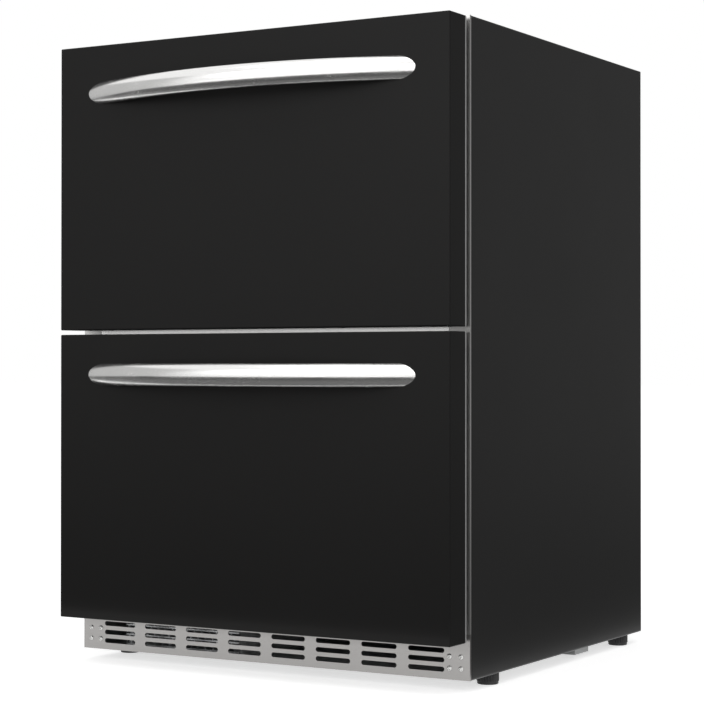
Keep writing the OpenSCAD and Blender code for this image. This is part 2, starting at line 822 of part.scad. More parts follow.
module kick_grille() color("#b9babc") difference() {
    slot_pitch_x = (2 * (hw - slot_margin) + slot_web) / slot_cols;
    lip_frame(z0, z0 + grille_h, false, true);
    for (i = [0:slot_cols - 1], j = [0:slot_rows - 1])
        translate([(i - (slot_cols - 1) / 2) * slot_pitch_x, 0, z0 + slot_row_z + j * slot_pitch_z])
            along_y(y_cab - over, sheet_t + 2 * over) slot_2d(slot_pitch_x - slot_web, slot_h);
    for (s = [-1, 1], x = grille_screw_xs(), z = grille_screw_zs())
        rod_y(s * x, y_cab - over, z, screw_r + tube_gap, sheet_t + 2 * over);
}

module kick_grille_screws() color("#d9dadb")
    for (s = [-1, 1], x = grille_screw_xs(), z = grille_screw_zs())
        translate([s * x, y_cab, z]) rotate([-90, 0, 0])
            screw(screw_head_r, screw_head_h, screw_r, screw_len);

// ---------- insulated cavity ----------
// Side outline of the cavity, grown by g on every wall
function cavity_points(g, y_open) = [
    [y_open, cav_floor - g], [cav_step_y + g, cav_floor - g],
    [cav_step_y + g, cav_step_z - g], [cav_back + g, cav_step_z - g],
    [cav_back + g, cav_top + g], [y_open, cav_top + g],
];

module cavity(g, y_open) {
    outline = rounded(cavity_points(g, y_open),
        [0, liner_r + g, liner_r - g, liner_r + g, liner_r + g, 0]);
    x = cav_x + g;
    depth = cav_back + g - y_open;
    intersection() {
        along_x(-x, 2 * x) polygon(outline);
        translate([0, y_open, cav_floor - g]) linear_extrude(height = cav_top - cav_floor + 2 * g)
            polygon(rounded(
                [[-x, 0], [x, 0], [x, depth], [-x, depth]], [0, 0, liner_r + g, liner_r + g]));
    }
}

module back_wall_holes(gap) {
    rod_y(riser_x, cav_back - over, riser_z, tube_r + gap, liner_t + 2 * over);
    rod_y(drain_x, cav_back - over, drain_z, drain_r + gap, liner_t + 2 * over);
}

module inner_liner() color("#e8e9ea") difference() {
    union() {
        difference() {
            box(-in_w + seam_gap, in_w - seam_gap, y_cab + sheet_t, y_side,
                frame_z0 + seam_gap, z1 - 2 * sheet_t - seam_gap);
            cavity(0, y_cab - over);
        }
        difference() {
            cavity(liner_t, y_cab + sheet_t);
            cavity(0, y_cab - over);
        }
    }
    back_wall_holes(tube_gap);
}

module cabinet_foam() color("#e3d9a8") difference() {
    box(-in_w + seam_gap, in_w - seam_gap, y_side + bend_r, y_cover,
        floor_z + sheet_t, z1 - 2 * sheet_t);
    cavity(liner_t, y_side - over);
    box(-hw, hw, y_step - sheet_t, y_back, z0, step_z + sheet_t);
    climb(riser_x, riser_z, tube_r);
    climb(drain_x, drain_z, drain_r);
}

// Bore in the back wall for a tube that climbs to height z and bends into the cavity
module climb(x, z, r)
    pipe([[x, riser_y, step_z], [x, riser_y, z], [x, cav_back + liner_t - over, z]],
        r + tube_gap, pipe_bend * r);

// Stepped sheet that closes the foam above the machine space
module floor_sheet() color("#a9acb0") {
    w = in_w - seam_gap;
    t = sheet_t;
    difference() {
        along_x(-w, 2 * w) polygon([
            [y_side + bend_r, floor_z], [y_step, floor_z], [y_step, step_z], [y_cover, step_z],
            [y_cover, step_z + t], [y_step - t, step_z + t], [y_step - t, floor_z + t],
            [y_side + bend_r, floor_z + t],
        ]);
        rod_z(riser_x, riser_y, step_z - over, tube_r + tube_gap, t + 2 * over);
        rod_z(drain_x, riser_y, step_z - over, drain_r + tube_gap, t + 2 * over);
    }
}

// ---------- machine space ----------
module rear_access_cover() color("#a4a7ab") {
    w = nest_w;
    columns = floor(w / 2 / vent_pitch_x) - 1; // left and right of the middle of each field
    rows = floor((step_z - z0 - vent_up) / vent_pitch_z);
    difference() {
        box(-w, w, y_cover, y_back - sheet_t, base_z + seam_gap, step_z + sheet_t);
        // the field on the inlet's side starts above the inlet
        for (s = [-1, 1], i = [-columns:columns], j = [(s > 0 ? 0 : 2):rows - 1])
            translate([s * w / 2 + i * vent_pitch_x, 0, z0 + vent_up + j * vent_pitch_z])
                along_y(y_cover - over, sheet_t + 2 * over) slot_2d(vent_l, vent_h);
        for (s = [-1, 1], z = rear_screw_zs)
            rod_y(s * rear_screw_x, y_cover - over, z, screw_r + stem_gap, sheet_t + 2 * over);
        rod_y(inlet_x, y_cover - over, inlet_z, inlet_neck_r + stem_gap, sheet_t + 2 * over);
    }
}

module rear_cover_screws() color("#c4c6c8")
    for (s = [-1, 1], z = rear_screw_zs)
        translate([s * rear_screw_x, y_back, z]) rotate([90, 0, 0])
            screw(screw_head_r, screw_head_h, screw_r, screw_len);

module cord_inlet() color("#202022") difference() {
    union() {
        rod_y(inlet_x, y_back - sheet_t, inlet_z, inlet_flange_r, sheet_t + screw_head_h / 2);
        rod_y(inlet_x, y_cover - inlet_len, inlet_z, inlet_neck_r, inlet_len + 2 * sheet_t);
    }
    rod_y(inlet_x, y_cover - inlet_len - over, inlet_z, inlet_bore_r,
        inlet_len + 3 * sheet_t + 2 * over);
}

module air_baffle() color("#8d9094") difference() {
    x = baffle_x - sheet_t;
    y = y_side + 2 * sheet_t;
    union() {
        box(x, baffle_x, y, y_step, deck_z, floor_z);
        box(x, baffle_x, y_step, y_cover - base_t, deck_z, step_z);
        box(x, baffle_x + baffle_foot, y, y_cover - base_t, deck_z, deck_z + sheet_t);
    }
    rod_x(x - over, fan_y, fan_z, fan_hole_r, sheet_t + 2 * over);
    rod_x(x - over, discharge_y, tube_z, tube_r + tube_gap, sheet_t + 2 * over);
}

// Domed shell on two foot strips
module compressor() color("#1c1c1e") {
    strip = grommet_x + grommet_r; // the strips reach past the grommets
    difference() {
        union() {
            translate([comp_x, comp_y, comp_z]) rotate_extrude() polygon(rounded(
                [[0, 0], [comp_r * 0.7, 0], [comp_r, comp_r * 0.35], [comp_r, comp_shell_h * 0.75],
                 [comp_r * 0.72, comp_shell_h], [0, comp_shell_h]],
                [0, comp_r * 0.14, comp_r * 0.22, comp_r * 0.4, comp_r * 0.46, 0], 8));
            for (s = [-1, 1]) translate([comp_x, comp_y + s * (strip - comp_foot_w / 2), comp_z])
                linear_extrude(height = comp_foot_t) rrect(2 * strip, comp_foot_w, grommet_r);
        }
        for (p = grommet_points())
            rod_z(p[0], p[1], comp_z - over, grommet_pin_r + stem_gap, comp_foot_t + 2 * over);
    }
    translate([comp_x, comp_y, comp_z + comp_shell_h / 2]) rotate_extrude()
        translate([comp_r - over, 0]) square([2 * over, weld_h]);
}

// Grommet with a waist, a pin through the compressor's foot and a head on the pin
module compressor_grommets() color("#2a2a2c") {
    waist = grommet_r - grommet_pin_r;
    top = grommet_h + comp_foot_t;
    for (p = grommet_points()) translate([p[0], p[1], deck_z]) {
        rotate_extrude() polygon([
            [0, 0], [grommet_r, 0], [grommet_r, grommet_h * 0.35], [waist, grommet_h / 2],
            [grommet_r, grommet_h * 0.65], [grommet_r, grommet_h], [grommet_pin_r, grommet_h],
            [grommet_pin_r, top], [2 * grommet_pin_r, top], [2 * grommet_pin_r, top + 2 * over],
            [0, top + 2 * over],
        ]);
        translate([0, 0, -base_t]) cylinder(r = grommet_pin_r, h = base_t);
    }
}

// Starter box on the shell's right side, with its lid
module starter_box() color("#2b2b2e") {
    x = comp_x + comp_r + starter_d;
    half = starter_w / 2;
    z = z0 + starter_up;
    difference() {
        box(comp_x + comp_r - 2 * grommet_in, x, comp_y - half, comp_y + half, z, z + starter_h);
        rod_z(comp_x, comp_y, z0, comp_r + tube_gap, machine_h);
    }
    box(x - over, x + starter_lid_t, comp_y - half + starter_lid_in, comp_y + half - starter_lid_in,
        z + starter_lid_in, z + starter_h - starter_lid_in);
}

// One corrugated fin strip between two flat tubes
module zigzag(w, h, pitch, t) {
    n = floor(w / pitch);
    up = [for (i = [0:2 * n]) [i * pitch / 2, i % 2 == 0 ? t : h]];
    down = [for (i = [2 * n:-1:0]) [i * pitch / 2, i % 2 == 0 ? 0 : h - t]];
    polygon(concat(up, down));
}

// Flat tubes with corrugated fins between them, a header at each end and a foot
module condenser_coil() color("#b3b5b4") {
    x0 = cond_x - cond_w / 2;
    x1 = cond_x + cond_w / 2;
    pitch = (cond_z1 - cond_z0 - flat_tube_t) / (cond_tubes - 1);
    mid_y = cond_y + cond_d / 2;
    for (i = [0:cond_tubes - 1])
        box(x0, x1, cond_y, cond_y + cond_d, cond_z0 + i * pitch, cond_z0 + i * pitch + flat_tube_t);
    // the fins sink a quarter of a tube's thickness into the tubes below and above
    for (i = [0:cond_tubes - 2]) translate([x0, 0, cond_z0 + flat_tube_t * 0.75 + i * pitch])
        along_y(cond_y, cond_d)
            zigzag(cond_w, pitch - flat_tube_t / 2, zigzag_pitch, zigzag_t);
    for (x = [x0, x1])
        rod_z(x, mid_y, cond_z0 - flat_tube_t / 2, header_r, cond_z1 - cond_z0 + flat_tube_t);
    box(x0 - header_r, x1 + header_r, mid_y - over, mid_y + over, deck_z, cond_z0 + over);
}

// Hub with a blind bore and tilted blades, about the Z axis
module fan_blade(r, hub_r, hub_h) {
    difference() {
        union() {
            cylinder(r = hub_r, h = hub_h, center = true);
            intersection() {
                for (i = [0:blade_count - 1]) rotate([0, 0, i * 360 / blade_count])
                    translate([0, -r * 0.3, 0]) rotate([0, blade_tilt, 0])
                        translate([0, 0, -blade_t / 2]) linear_extrude(height = blade_t)
                            polygon(rounded(
                                [[0, r * 0.22], [r * 1.1, 0], [r * 1.1, r * 0.75], [0, r * 0.42]],
                                [0, r * 0.15, r * 0.2, 0]));
                cylinder(r = r, h = hub_h * 3, center = true);
            }
        }
        translate([0, 0, -hub_h]) cylinder(r = fan_shaft_r + stem_gap, h = hub_h * 1.3);
    }
}

module condenser_fan_blade() color("#d7d8d9")
    translate([baffle_x - sheet_t / 2, fan_y, fan_z]) rotate([0, 90, 0])
        fan_blade(fan_hole_r - fan_gap, fan_hub_r, fan_hub_h);

// Motor on three bent arms that stand on the baffle round the fan's opening
module condenser_fan_motor() color("#3a3b3e") {
    face = baffle_x - sheet_t;
    front = baffle_x - fan_hub_h / 2 - 2 * arm_t; // the motor's end towards the blades
    arm_x = front - motor_len + arm_w;
    rim = fan_hole_r + 3 * arm_t;
    rod_x(front - motor_len, fan_y, fan_z, motor_r, motor_len);
    rod_x(front - over, fan_y, fan_z, fan_shaft_r, baffle_x - front + 2 * over);
    for (a = [30:120:270]) translate([0, fan_y, fan_z]) rotate([a, 0, 0]) {
        box(arm_x - arm_t, arm_x, -arm_w / 2, arm_w / 2, motor_r - over, rim + arm_t);
        box(arm_x - arm_t, face, -arm_w / 2, arm_w / 2, rim, rim + arm_t);
        box(face - arm_t, face, -arm_w / 2, arm_w / 2, fan_hole_r + arm_t, rim + arm_t);
    }
}

// Drawn copper can with a neck at each end
module filter_drier() color("#b87348") {
    shoulder = drier_neck + drier_r;
    translate([cond_x - cond_w / 2, cond_y + drier_in, tube_z]) rotate([-90, 0, 0])
        rotate_extrude() polygon(rounded(
            [[0, 0], [tube_r, 0], [tube_r, drier_neck], [drier_r, shoulder],
             [drier_r, drier_len - shoulder], [tube_r, drier_len - drier_neck],
             [tube_r, drier_len], [0, drier_len]],
            [0, 0, 0, drier_r / 2, drier_r / 2, 0, 0, 0]));
}

// A point at a distance off the compressor shell, at an angle about it
function off_shell(a, gap, z) =
    [comp_x + (comp_r + gap) * cos(a), comp_y + (comp_r + gap) * sin(a), z0 + z];

// Suction line: from the compressor up the back wall into the evaporator
function suction_points() = [
    off_shell(suction_angle, tube_gap, suction_up),
    off_shell(suction_angle, 4 * tube_r, suction_up),
    [riser_x, riser_y, z0 + suction_up + suction_rise], [riser_x, riser_y, riser_z],
    [riser_x, cav_back - 3 * tube_r, riser_z],
];

// Discharge line: from the compressor round to the condenser's right header
function discharge_points() = [
    off_shell(discharge_angle, tube_gap, discharge_up),
    off_shell(discharge_angle, 3 * tube_r, discharge_up),
    [comp_x - discharge_run, discharge_y + discharge_run, tube_z],
    [comp_x - discharge_run, discharge_y, tube_z],
    [cond_x + cond_w / 2, discharge_y, tube_z],
    [cond_x + cond_w / 2, cond_y + cond_d + tube_gap, tube_z],
];

// Drain tube: from the cavity down the back wall to the pan
function drain_points() = [
    [drain_x, cav_back - drain_r, drain_z], [drain_x, riser_y, drain_z],
    [drain_x, riser_y, z0 + drain_knees[0]],
    [drip[0], (riser_y + drip[1]) / 2, z0 + drain_knees[1]],
    [drip[0], drip[1], z0 + drain_knees[2]], [drip[0], drip[1], deck_z + pan_h - 2 * pan_t],
];

module refrigerant_tubes() color("#b87348") {
    left_x = cond_x - cond_w / 2;
    pipe(discharge_points(), tube_r, pipe_bend * tube_r);
    pipe([[left_x, cond_y + cond_d + tube_gap, tube_z],
          [left_x, cond_y + drier_in - tube_gap, tube_z]], tube_r, 0);
    pipe(suction_points(), tube_r, pipe_bend * tube_r);
}

module drain_tube() color("#c9cacc") pipe(drain_points(), drain_r, pipe_bend * drain_r);

// Open pan whose sump hangs through the base
module drain_pan() color("#b4b6b8") difference() {
    union() {
        box(pan[0], pan[1], pan[2], pan[3], deck_z, deck_z + pan_h);
        box(sump[0], sump[1], sump[2], sump[3], z0 - sump_drop, deck_z + pan_t);
    }
    box(pan[0] + pan_t, pan[1] - pan_t, pan[2] + pan_t, pan[3] - pan_t,
        deck_z + pan_t, deck_z + pan_h + over);
    box(sump[0] + pan_t, sump[1] - pan_t, sump[2] + pan_t, sump[3] - pan_t,
        z0 - sump_drop + pan_t, deck_z + pan_h);
}

// ---------- cold parts ----------
// Fin block on straight tubes, closed by end plates and return bends
module evaporator_coil() color("#c2c5c8") {
    z = evap_z + coil_up;
    y = cav_back - coil_gap - coil_d;
    end_x = coil_w / 2 + 2 * tube_r; // where the tubes turn back
    for (i = [0:fin_count - 1])
        translate([-coil_w / 2 + i * (coil_w - fin_t) / (fin_count - 1), y, z])
            cube([fin_t, coil_d, coil_h]);
    for (i = [0:coil_rows - 1]) {
        row_z = z + coil_h * (i + 0.5) / coil_rows;
        for (share = [0.25, 0.75])
            rod_x(-end_x, y + coil_d * share, row_z, tube_r, 2 * end_x);
        for (s = [-1, 1]) {
            bend_x = s * end_x - tube_r;
            box(bend_x, bend_x + 2 * tube_r, y + coil_d / 4 - tube_r, y + coil_d * 3 / 4 + tube_r,
                row_z - tube_r, row_z + tube_r);
        }
    }
    for (s = [-1, 1])
        box(s * coil_w / 2 - over, s * coil_w / 2 + over, y, cav_back, z, z + coil_h);
}

module evaporator_cover() color("#d9dbdd") difference() {
    mid_z = evap_z + evap_h / 2;
    along_y(evap_y, evap_d) translate([0, mid_z]) rrect(evap_w, evap_h, evap_r);
    along_y(evap_y + evap_t, evap_d) translate([0, mid_z])
        rrect(evap_w - 2 * evap_t, evap_h - 2 * evap_t, evap_r - evap_t);
    fan_guard();
    // air intake at the foot
    middle = (intake_count - 1) / 2;
    for (i = [-middle:middle]) translate([i * intake_pitch, 0, evap_z + intake_l - 2 * evap_t])
        along_y(evap_y - over, evap_t + 2 * over) rotate(90) slot_2d(intake_l, intake_w);
}

// What is cut from the cover in front of the fan: the disc less its rings and spokes
module fan_guard() {
    half = guard_w / 2;
    difference() {
        rod_y(0, evap_y - over, evap_fan_z, evap_fan_r, evap_t + 2 * over);
        for (r = [evap_hub_r + 2:guard_pitch:evap_fan_r - fan_gap]) difference() {
            rod_y(0, evap_y - 2 * over, evap_fan_z, r + half, evap_t + 4 * over);
            rod_y(0, evap_y - 3 * over, evap_fan_z, r - half, evap_t + 6 * over);
        }
        for (a = [0:60:120]) translate([0, evap_y - 2 * over, evap_fan_z]) rotate([0, a, 0])
            translate([-evap_fan_r - over, 0, -half])
                cube([2 * evap_fan_r + 2 * over, evap_t + 4 * over, guard_w]);
    }
}

// Motor on a strap that is fixed to the cavity's back
module evaporator_fan_motor() color("#34353a") {
    front = evap_fan_y + evap_hub_h;
    back = cav_back - evap_t;
    half = evap_motor_r / 2;
    rod_y(0, front, evap_fan_z, evap_motor_r, back - front);
    rod_y(0, evap_fan_y - fan_shaft_r, evap_fan_z, fan_shaft_r, evap_hub_h + fan_shaft_r + over);
    box(-evap_fan_r, evap_fan_r, back - arm_t, cav_back - seam_gap,
        evap_fan_z - half, evap_fan_z + half);
}

module evaporator_fan_blade() color("#e6e7e8")
    translate([0, evap_fan_y, evap_fan_z]) rotate([-90, 0, 0]) mirror([0, 0, 1])
        fan_blade(evap_fan_r - fan_gap, evap_hub_r, evap_hub_h);

// Sloped panel under the ceiling, with a display window and touch pads that don't travel
module control_panel() color("#2c2d30") {
    y = y_side + control_in;
    bottom = cav_top - control_drop;
    slope = control_drop * 2 / 3;
    mid_y = y + control_d * 0.6;
    difference() {
        along_x(-control_w / 2, control_w) polygon(rounded(
            [[y, cav_top], [y, cav_top - control_drop / 3], [y + slope, bottom],
             [y + control_d, bottom], [y + control_d, cav_top]], [0, bend_r, bend_r, bend_r, 0]));
        box(-display_w / 2, display_w / 2, mid_y - display_d / 2, mid_y + display_d / 2,
            bottom - over, bottom + display_t);
    }
    for (s = [-1, 1], i = [0, 1])
        rod_z(s * (key_x + i * key_pitch), mid_y, bottom - over, key_r, 2 * over);
}

module light_bar() color("#f2f3ef") {
    y = y_side + control_in + control_d + lamp_gap;
    along_x(-lamp_l / 2, lamp_l) polygon(rounded(
        [[y, cav_top], [y, cav_top - lamp_drop], [y + lamp_d, cav_top - lamp_drop],
         [y + lamp_d, cav_top]], [0, bend_r, bend_r, 0]));
}

// ---------- feet ----------
module foot_nuts() color("#b9bbbd") for (s = [-1, 1], y = foot_ys) difference() {
    union() {
        translate([s * foot_x, y, deck_z]) cylinder(r = 2 * stem_r, h = nut_h, $fn = 6);
        rod_z(s * foot_x, y, z0, nut_neck_r, sheet_t + base_t + over);
    }
    rod_z(s * foot_x, y, z0 - over, stem_r + stem_gap, nut_h + 3 * sheet_t + 3 * over);
}

// Levelling foot: a smooth pad, a ribbed grip above it and a stem. A rib's flank takes a tenth
// of the ribs' pitch on each side.
module foot(x, y) color("#222224") translate([x, y, 0]) {
    top = foot_h - foot_gap;
    step = 360 / foot_ribs;
    rotate_extrude() polygon(rounded(
        [[0, 0], [foot_r, 0], [foot_r, foot_pad_h + over], [0, foot_pad_h + over]],
        [0, foot_edge_r, 0, 0]));
    translate([0, 0, foot_pad_h]) linear_extrude(height = top - foot_pad_h) polygon([
        for (i = [0:foot_ribs - 1], k = [0:3])
            let (a = (i + [0.1, 0.4, 0.6, 0.9][k]) * step)
            (k == 0 || k == 3 ? foot_top_r : foot_r - seam_gap) * [cos(a), sin(a)],
    ]);
    translate([0, 0, top - over]) rotate_extrude() polygon([
        [0, 0], [stem_r, 0], [stem_r, stem_len], [stem_r - over, stem_len + over],
        [0, stem_len + over],
    ]);
}

module front_left_foot() foot(-foot_x, foot_ys[0]);
module front_right_foot() foot(foot_x, foot_ys[0]);
module rear_left_foot() foot(-foot_x, foot_ys[1]);
module rear_right_foot() foot(foot_x, foot_ys[1]);

// ---------- telescopic slides ----------
// Sections are drawn for the right-hand side, from the wall towards the bin
module rail_section() {
    square([slide_t, slide_h]);
    for (v = [0, slide_h - slide_t]) translate([0, v]) square([edge_u, slide_t]);
    for (v = [0, slide_h - slide_t - race_lip])
        translate([edge_u - slide_t, v]) square([slide_t, slide_t + race_lip]);
}

module middle_section() {
    u = slide_t + race_lip;
    translate([u, 0]) square([slide_t, mid_h]);
    for (v = [0, mid_h - slide_t]) translate([u, v]) square([edge_u - slide_t - u, slide_t]);
}

module inner_section() {
    translate([slide_w - slide_t, 0]) square([slide_t, in_h]);
    for (v = [0, in_h - slide_t])
        translate([slide_w - slide_inner_w, v]) square([slide_inner_w, slide_t]);
}

// Puts a section on the right wall of the cavity, centred on height z
module on_wall(z, h) {
    mirror([1, 0, 0]) translate([-cav_x, 0, z - h / 2]) along_y(slide_y, slide_len) children();
}

module slide_rail(z) color("#c3c5c8") on_wall(z, slide_h) rail_section();

// Middle member with a row of balls and a cage on each side of its flanges
module slide_middle(z) {
    step = (slide_len - 2 * ball_in) / (ball_count - 1);
    x = cav_x - ball_u;
    on_wall(z, mid_h) middle_section();
    for (s = [-1, 1]) {
        for (i = [0:ball_count - 1]) translate([x, slide_y + ball_in + i * step, z]) {
            translate([0, 0, s * (mid_h / 2 + ball_r - ball_sink)]) sphere(r = ball_r);
            translate([0, 0, s * (mid_h / 2 - slide_t - ball_r + ball_sink)]) sphere(r = ball_r);
        }
        cage_z = z + s * (mid_h + cage_h - ball_sink) / 2;
        box(x - cage_t / 2, x + cage_t / 2, slide_y + ball_in / 2, slide_y + slide_len - ball_in / 2,
            cage_z - cage_h / 2, cage_z + cage_h / 2);
    }
}

module slide_inner(z) on_wall(z, in_h) inner_section();

module pair() {
    children();
    mirror([1, 0, 0]) children();
}

module upper_right_slide_rail() slide_rail(upper_slide_z);
module upper_left_slide_rail() mirror([1, 0, 0]) slide_rail(upper_slide_z);
module lower_right_slide_rail() slide_rail(lower_slide_z);
module lower_left_slide_rail() mirror([1, 0, 0]) slide_rail(lower_slide_z);
module upper_slide_middles() color("#b4b6ba") pair() slide_middle(upper_slide_z);
module lower_slide_middles() color("#b4b6ba") pair() slide_middle(lower_slide_z);
module upper_slide_inners() color("#cfd1d3") pair() slide_inner(upper_slide_z);
module lower_slide_inners() color("#cfd1d3") pair() slide_inner(lower_slide_z);

// ---------- drawer fronts ----------
module skin(z, handle_z) color("#19191b") difference() {
    // softened outer edges: the front face is a little smaller than the body
    union() {
        along_y(y_face + skin_r, skin_d - skin_r) translate([0, z]) rrect(cab_w, front_h, skin_r);
        along_y(y_face, skin_r) translate([0, z])
            square([cab_w - 2 * skin_r, front_h - 2 * skin_r], center = true);
        skin_edges(z);
    }
    along_y(y_face + skin_t + skin_r / 2, skin_d) translate([0, z])
        square([cab_w - 2 * skin_t - skin_r, front_h - 2 * skin_t - skin_r], center = true);
    for (s = [-1, 1])
        rod_y(s * handle_screw_x, y_face - over, handle_z, handle_screw_r + stem_gap,
            skin_t + skin_r + 2 * over);
}

// Quarter-round edges along the four sides of the face
module skin_edges(z) {
    hz = front_h / 2 - skin_r;
    hx = hw - skin_r;
    for (s = [-1, 1]) {
        rod_z(s * hx, y_face + skin_r, z - hz, skin_r, 2 * hz);
        rod_x(-hx, y_face + skin_r, z + s * hz, skin_r, 2 * hx);
        for (t = [-1, 1]) translate([s * hx, y_face + skin_r, z + t * hz]) sphere(r = skin_r);
    }
}

module front_foam(z, handle_z) color("#e3d9a8") {
    y = y_face + skin_t + skin_r / 2;
    difference() {
        along_y(y, skin_d - skin_t - skin_r / 2) translate([0, z])
            square([cab_w - 2 * skin_t - skin_r, front_h - 2 * skin_t - skin_r], center = true);
        for (s = [-1, 1])
            rod_y(s * handle_screw_x, y - over, handle_z, 2 * handle_screw_r + tube_gap,
                handle_screw_r + over + tube_gap);
    }
}

// Flat panel whose raised middle enters the cavity
module inner_panel(z, boss_z0, boss_z1) color("#d8dadc") {
    boss_w = 2 * (cav_x - 1.5 * boss_gap);
    along_y(y_face + skin_d, panel_t) translate([0, z]) rrect(cab_w, front_h, skin_r);
    along_y(y_face + skin_d + panel_t, panel_boss) translate([0, (boss_z0 + boss_z1) / 2])
        rrect(boss_w, boss_z1 - boss_z0, boss_r);
}

module gasket_ring(grow, y, len, z) {
    w = cab_w - 2 * gasket_in_x + 2 * grow;
    h = front_h - 2 * gasket_in_z + 2 * grow;
    inner_w = cab_w - 2 * gasket_in_x - 2 * gasket_w - 2 * grow;
    inner_h = front_h - 2 * gasket_in_z - 2 * gasket_w - 2 * grow;
    along_y(y, len) translate([0, z]) difference() {
        rrect(w, h, gasket_r + grow);
        rrect(inner_w, inner_h, gasket_r / 2);
    }
}

// Foot, bellows and lip: how far each step's outline grows, and where it starts and ends as
// shares of the free depth
gasket_steps = [[-0.5, 0, 0.26], [-3.5, 0.24, 0.44], [-1.5, 0.4, 0.56], [-3, 0.54, 0.64], [0, 0.62, 1]];

module gasket(z) color("#2a2a2c") {
    y = y_face + skin_d + panel_t;
    free = gasket_t - gasket_gap;
    for (g = gasket_steps) gasket_ring(g[0], y + free * g[1], free * (g[2] - g[1]), z);
}

// Section of the bar: two shallow arcs back to back, cut off at the top and bottom edges
module bar_2d() {
    rise = (bar_d - bar_edge) / 2;
    r = (bar_h * bar_h / 4 + rise * rise) / (2 * rise);
    intersection() {
        square([2 * bar_d, bar_h], center = true);
        translate([r - bar_d / 2, 0]) circle(r = r);
        translate([bar_d / 2 - r, 0]) circle(r = r);
    }
}

// The bow is one arc, cut off flat where it lies on the drawer front
module handle(z) color("#c6c8ca") difference() {
    intersection() {
        translate([0, bow_y, z]) rotate_extrude($fn = 240)
            translate([bow_r - bar_d / 2, 0]) bar_2d();
        box(-handle_half - over, handle_half + over, y_face - handle_out - over, y_face,
            z - bar_h, z + bar_h);
    }
    for (s = [-1, 1])
        rod_y(s * handle_screw_x, y_face - handle_hole_d, z, handle_screw_r + stem_gap,
            handle_hole_d + over);
}

module handle_screws(z) color("#c4c6c8")
    for (s = [-1, 1])
        translate([s * handle_screw_x, y_face + skin_t + skin_r / 2, z]) rotate([90, 0, 0])
            screw(2 * handle_screw_r, handle_screw_r, handle_screw_r,
                handle_hole_d + skin_t + skin_r / 2 - seam_gap);

// ---------- drawer bins ----------
module bin_block(inset, depth, height, lift) {
    x = bin_x - inset;
    d = depth - 2 * inset;
    intersection() {
        translate([0, bin_front + depth / 2, lift]) linear_extrude(height = height)
            rrect(2 * x, d, bin_r - inset);
        along_y(bin_front - over, depth + 2 * over) polygon(rounded(
            [[-x, lift], [x, lift], [x, lift + height + over], [-x, lift + height + over]],
            [bin_floor_r - inset, bin_floor_r - inset, 0, 0]));
    }
}

module bin(z, height, depth) color("#c9cbcd") {
    difference() {
        bin_block(0, depth, height, z);
        bin_block(bin_t, depth, height + over, z + bin_t);
    }
    // rolled rim, carried above the slides
    difference() {
        translate([0, bin_front + depth / 2, z + height - rim_t]) linear_extrude(height = rim_t)
            rrect(2 * (bin_x + rim_w), depth, bin_r);
        translate([0, bin_front + depth / 2, z + height - rim_t - over])
            linear_extrude(height = rim_t + 2 * over)
                rrect(2 * (bin_x - bin_t), depth - 2 * bin_t, bin_r - bin_t);
    }
}

module upper_front_skin() skin(upper_z, upper_handle_z);
module lower_front_skin() skin(lower_z, lower_handle_z);
module upper_front_foam() front_foam(upper_z, upper_handle_z);
module lower_front_foam() front_foam(lower_z, lower_handle_z);
module upper_inner_panel()
    inner_panel(upper_z, mullion_z + mullion_h / 2 + boss_gap, cav_top - boss_gap);
module lower_inner_panel()
    inner_panel(lower_z, cav_floor + boss_gap, mullion_z - mullion_h / 2 - boss_gap);
module upper_gasket() gasket(upper_z);
module lower_gasket() gasket(lower_z);
module upper_handle() handle(upper_handle_z);
module lower_handle() handle(lower_handle_z);
module upper_handle_screws() handle_screws(upper_handle_z);
module lower_handle_screws() handle_screws(lower_handle_z);
module upper_bin() bin(upper_bin_z, upper_bin_h, upper_bin_d);
module lower_bin() bin(lower_bin_z, lower_bin_h, lower_bin_d);

left_side_panel();
right_side_panel();
top_panel();
back_panel();
base_plate();
front_frame();
centre_mullion();
kick_grille();
kick_grille_screws();
inner_liner();
cabinet_foam();
floor_sheet();
rear_access_cover();
rear_cover_screws();
air_baffle();
compressor();
compressor_grommets();
starter_box();
condenser_coil();
condenser_fan_motor();
condenser_fan_blade();
filter_drier();
refrigerant_tubes();
drain_pan();
drain_tube();
cord_inlet();
evaporator_coil();
evaporator_cover();
evaporator_fan_motor();
evaporator_fan_blade();
control_panel();
light_bar();
foot_nuts();
front_left_foot();
front_right_foot();
rear_left_foot();
rear_right_foot();
upper_left_slide_rail();
upper_right_slide_rail();
lower_left_slide_rail();
lower_right_slide_rail();
upper_slide_middles();
lower_slide_middles();
upper_slide_inners();
upper_front_skin();
upper_front_foam();
upper_inner_panel();
upper_gasket();
upper_handle();
upper_handle_screws();
upper_bin();
lower_slide_inners();
lower_front_skin();
lower_front_foam();
lower_inner_panel();
lower_gasket();
lower_handle();
lower_handle_screws();
lower_bin();
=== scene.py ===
"""Looks of the undercounter drawer refrigerator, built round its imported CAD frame. Metres."""
import json
import math

import bmesh
import bpy
from mathutils import Matrix, Vector


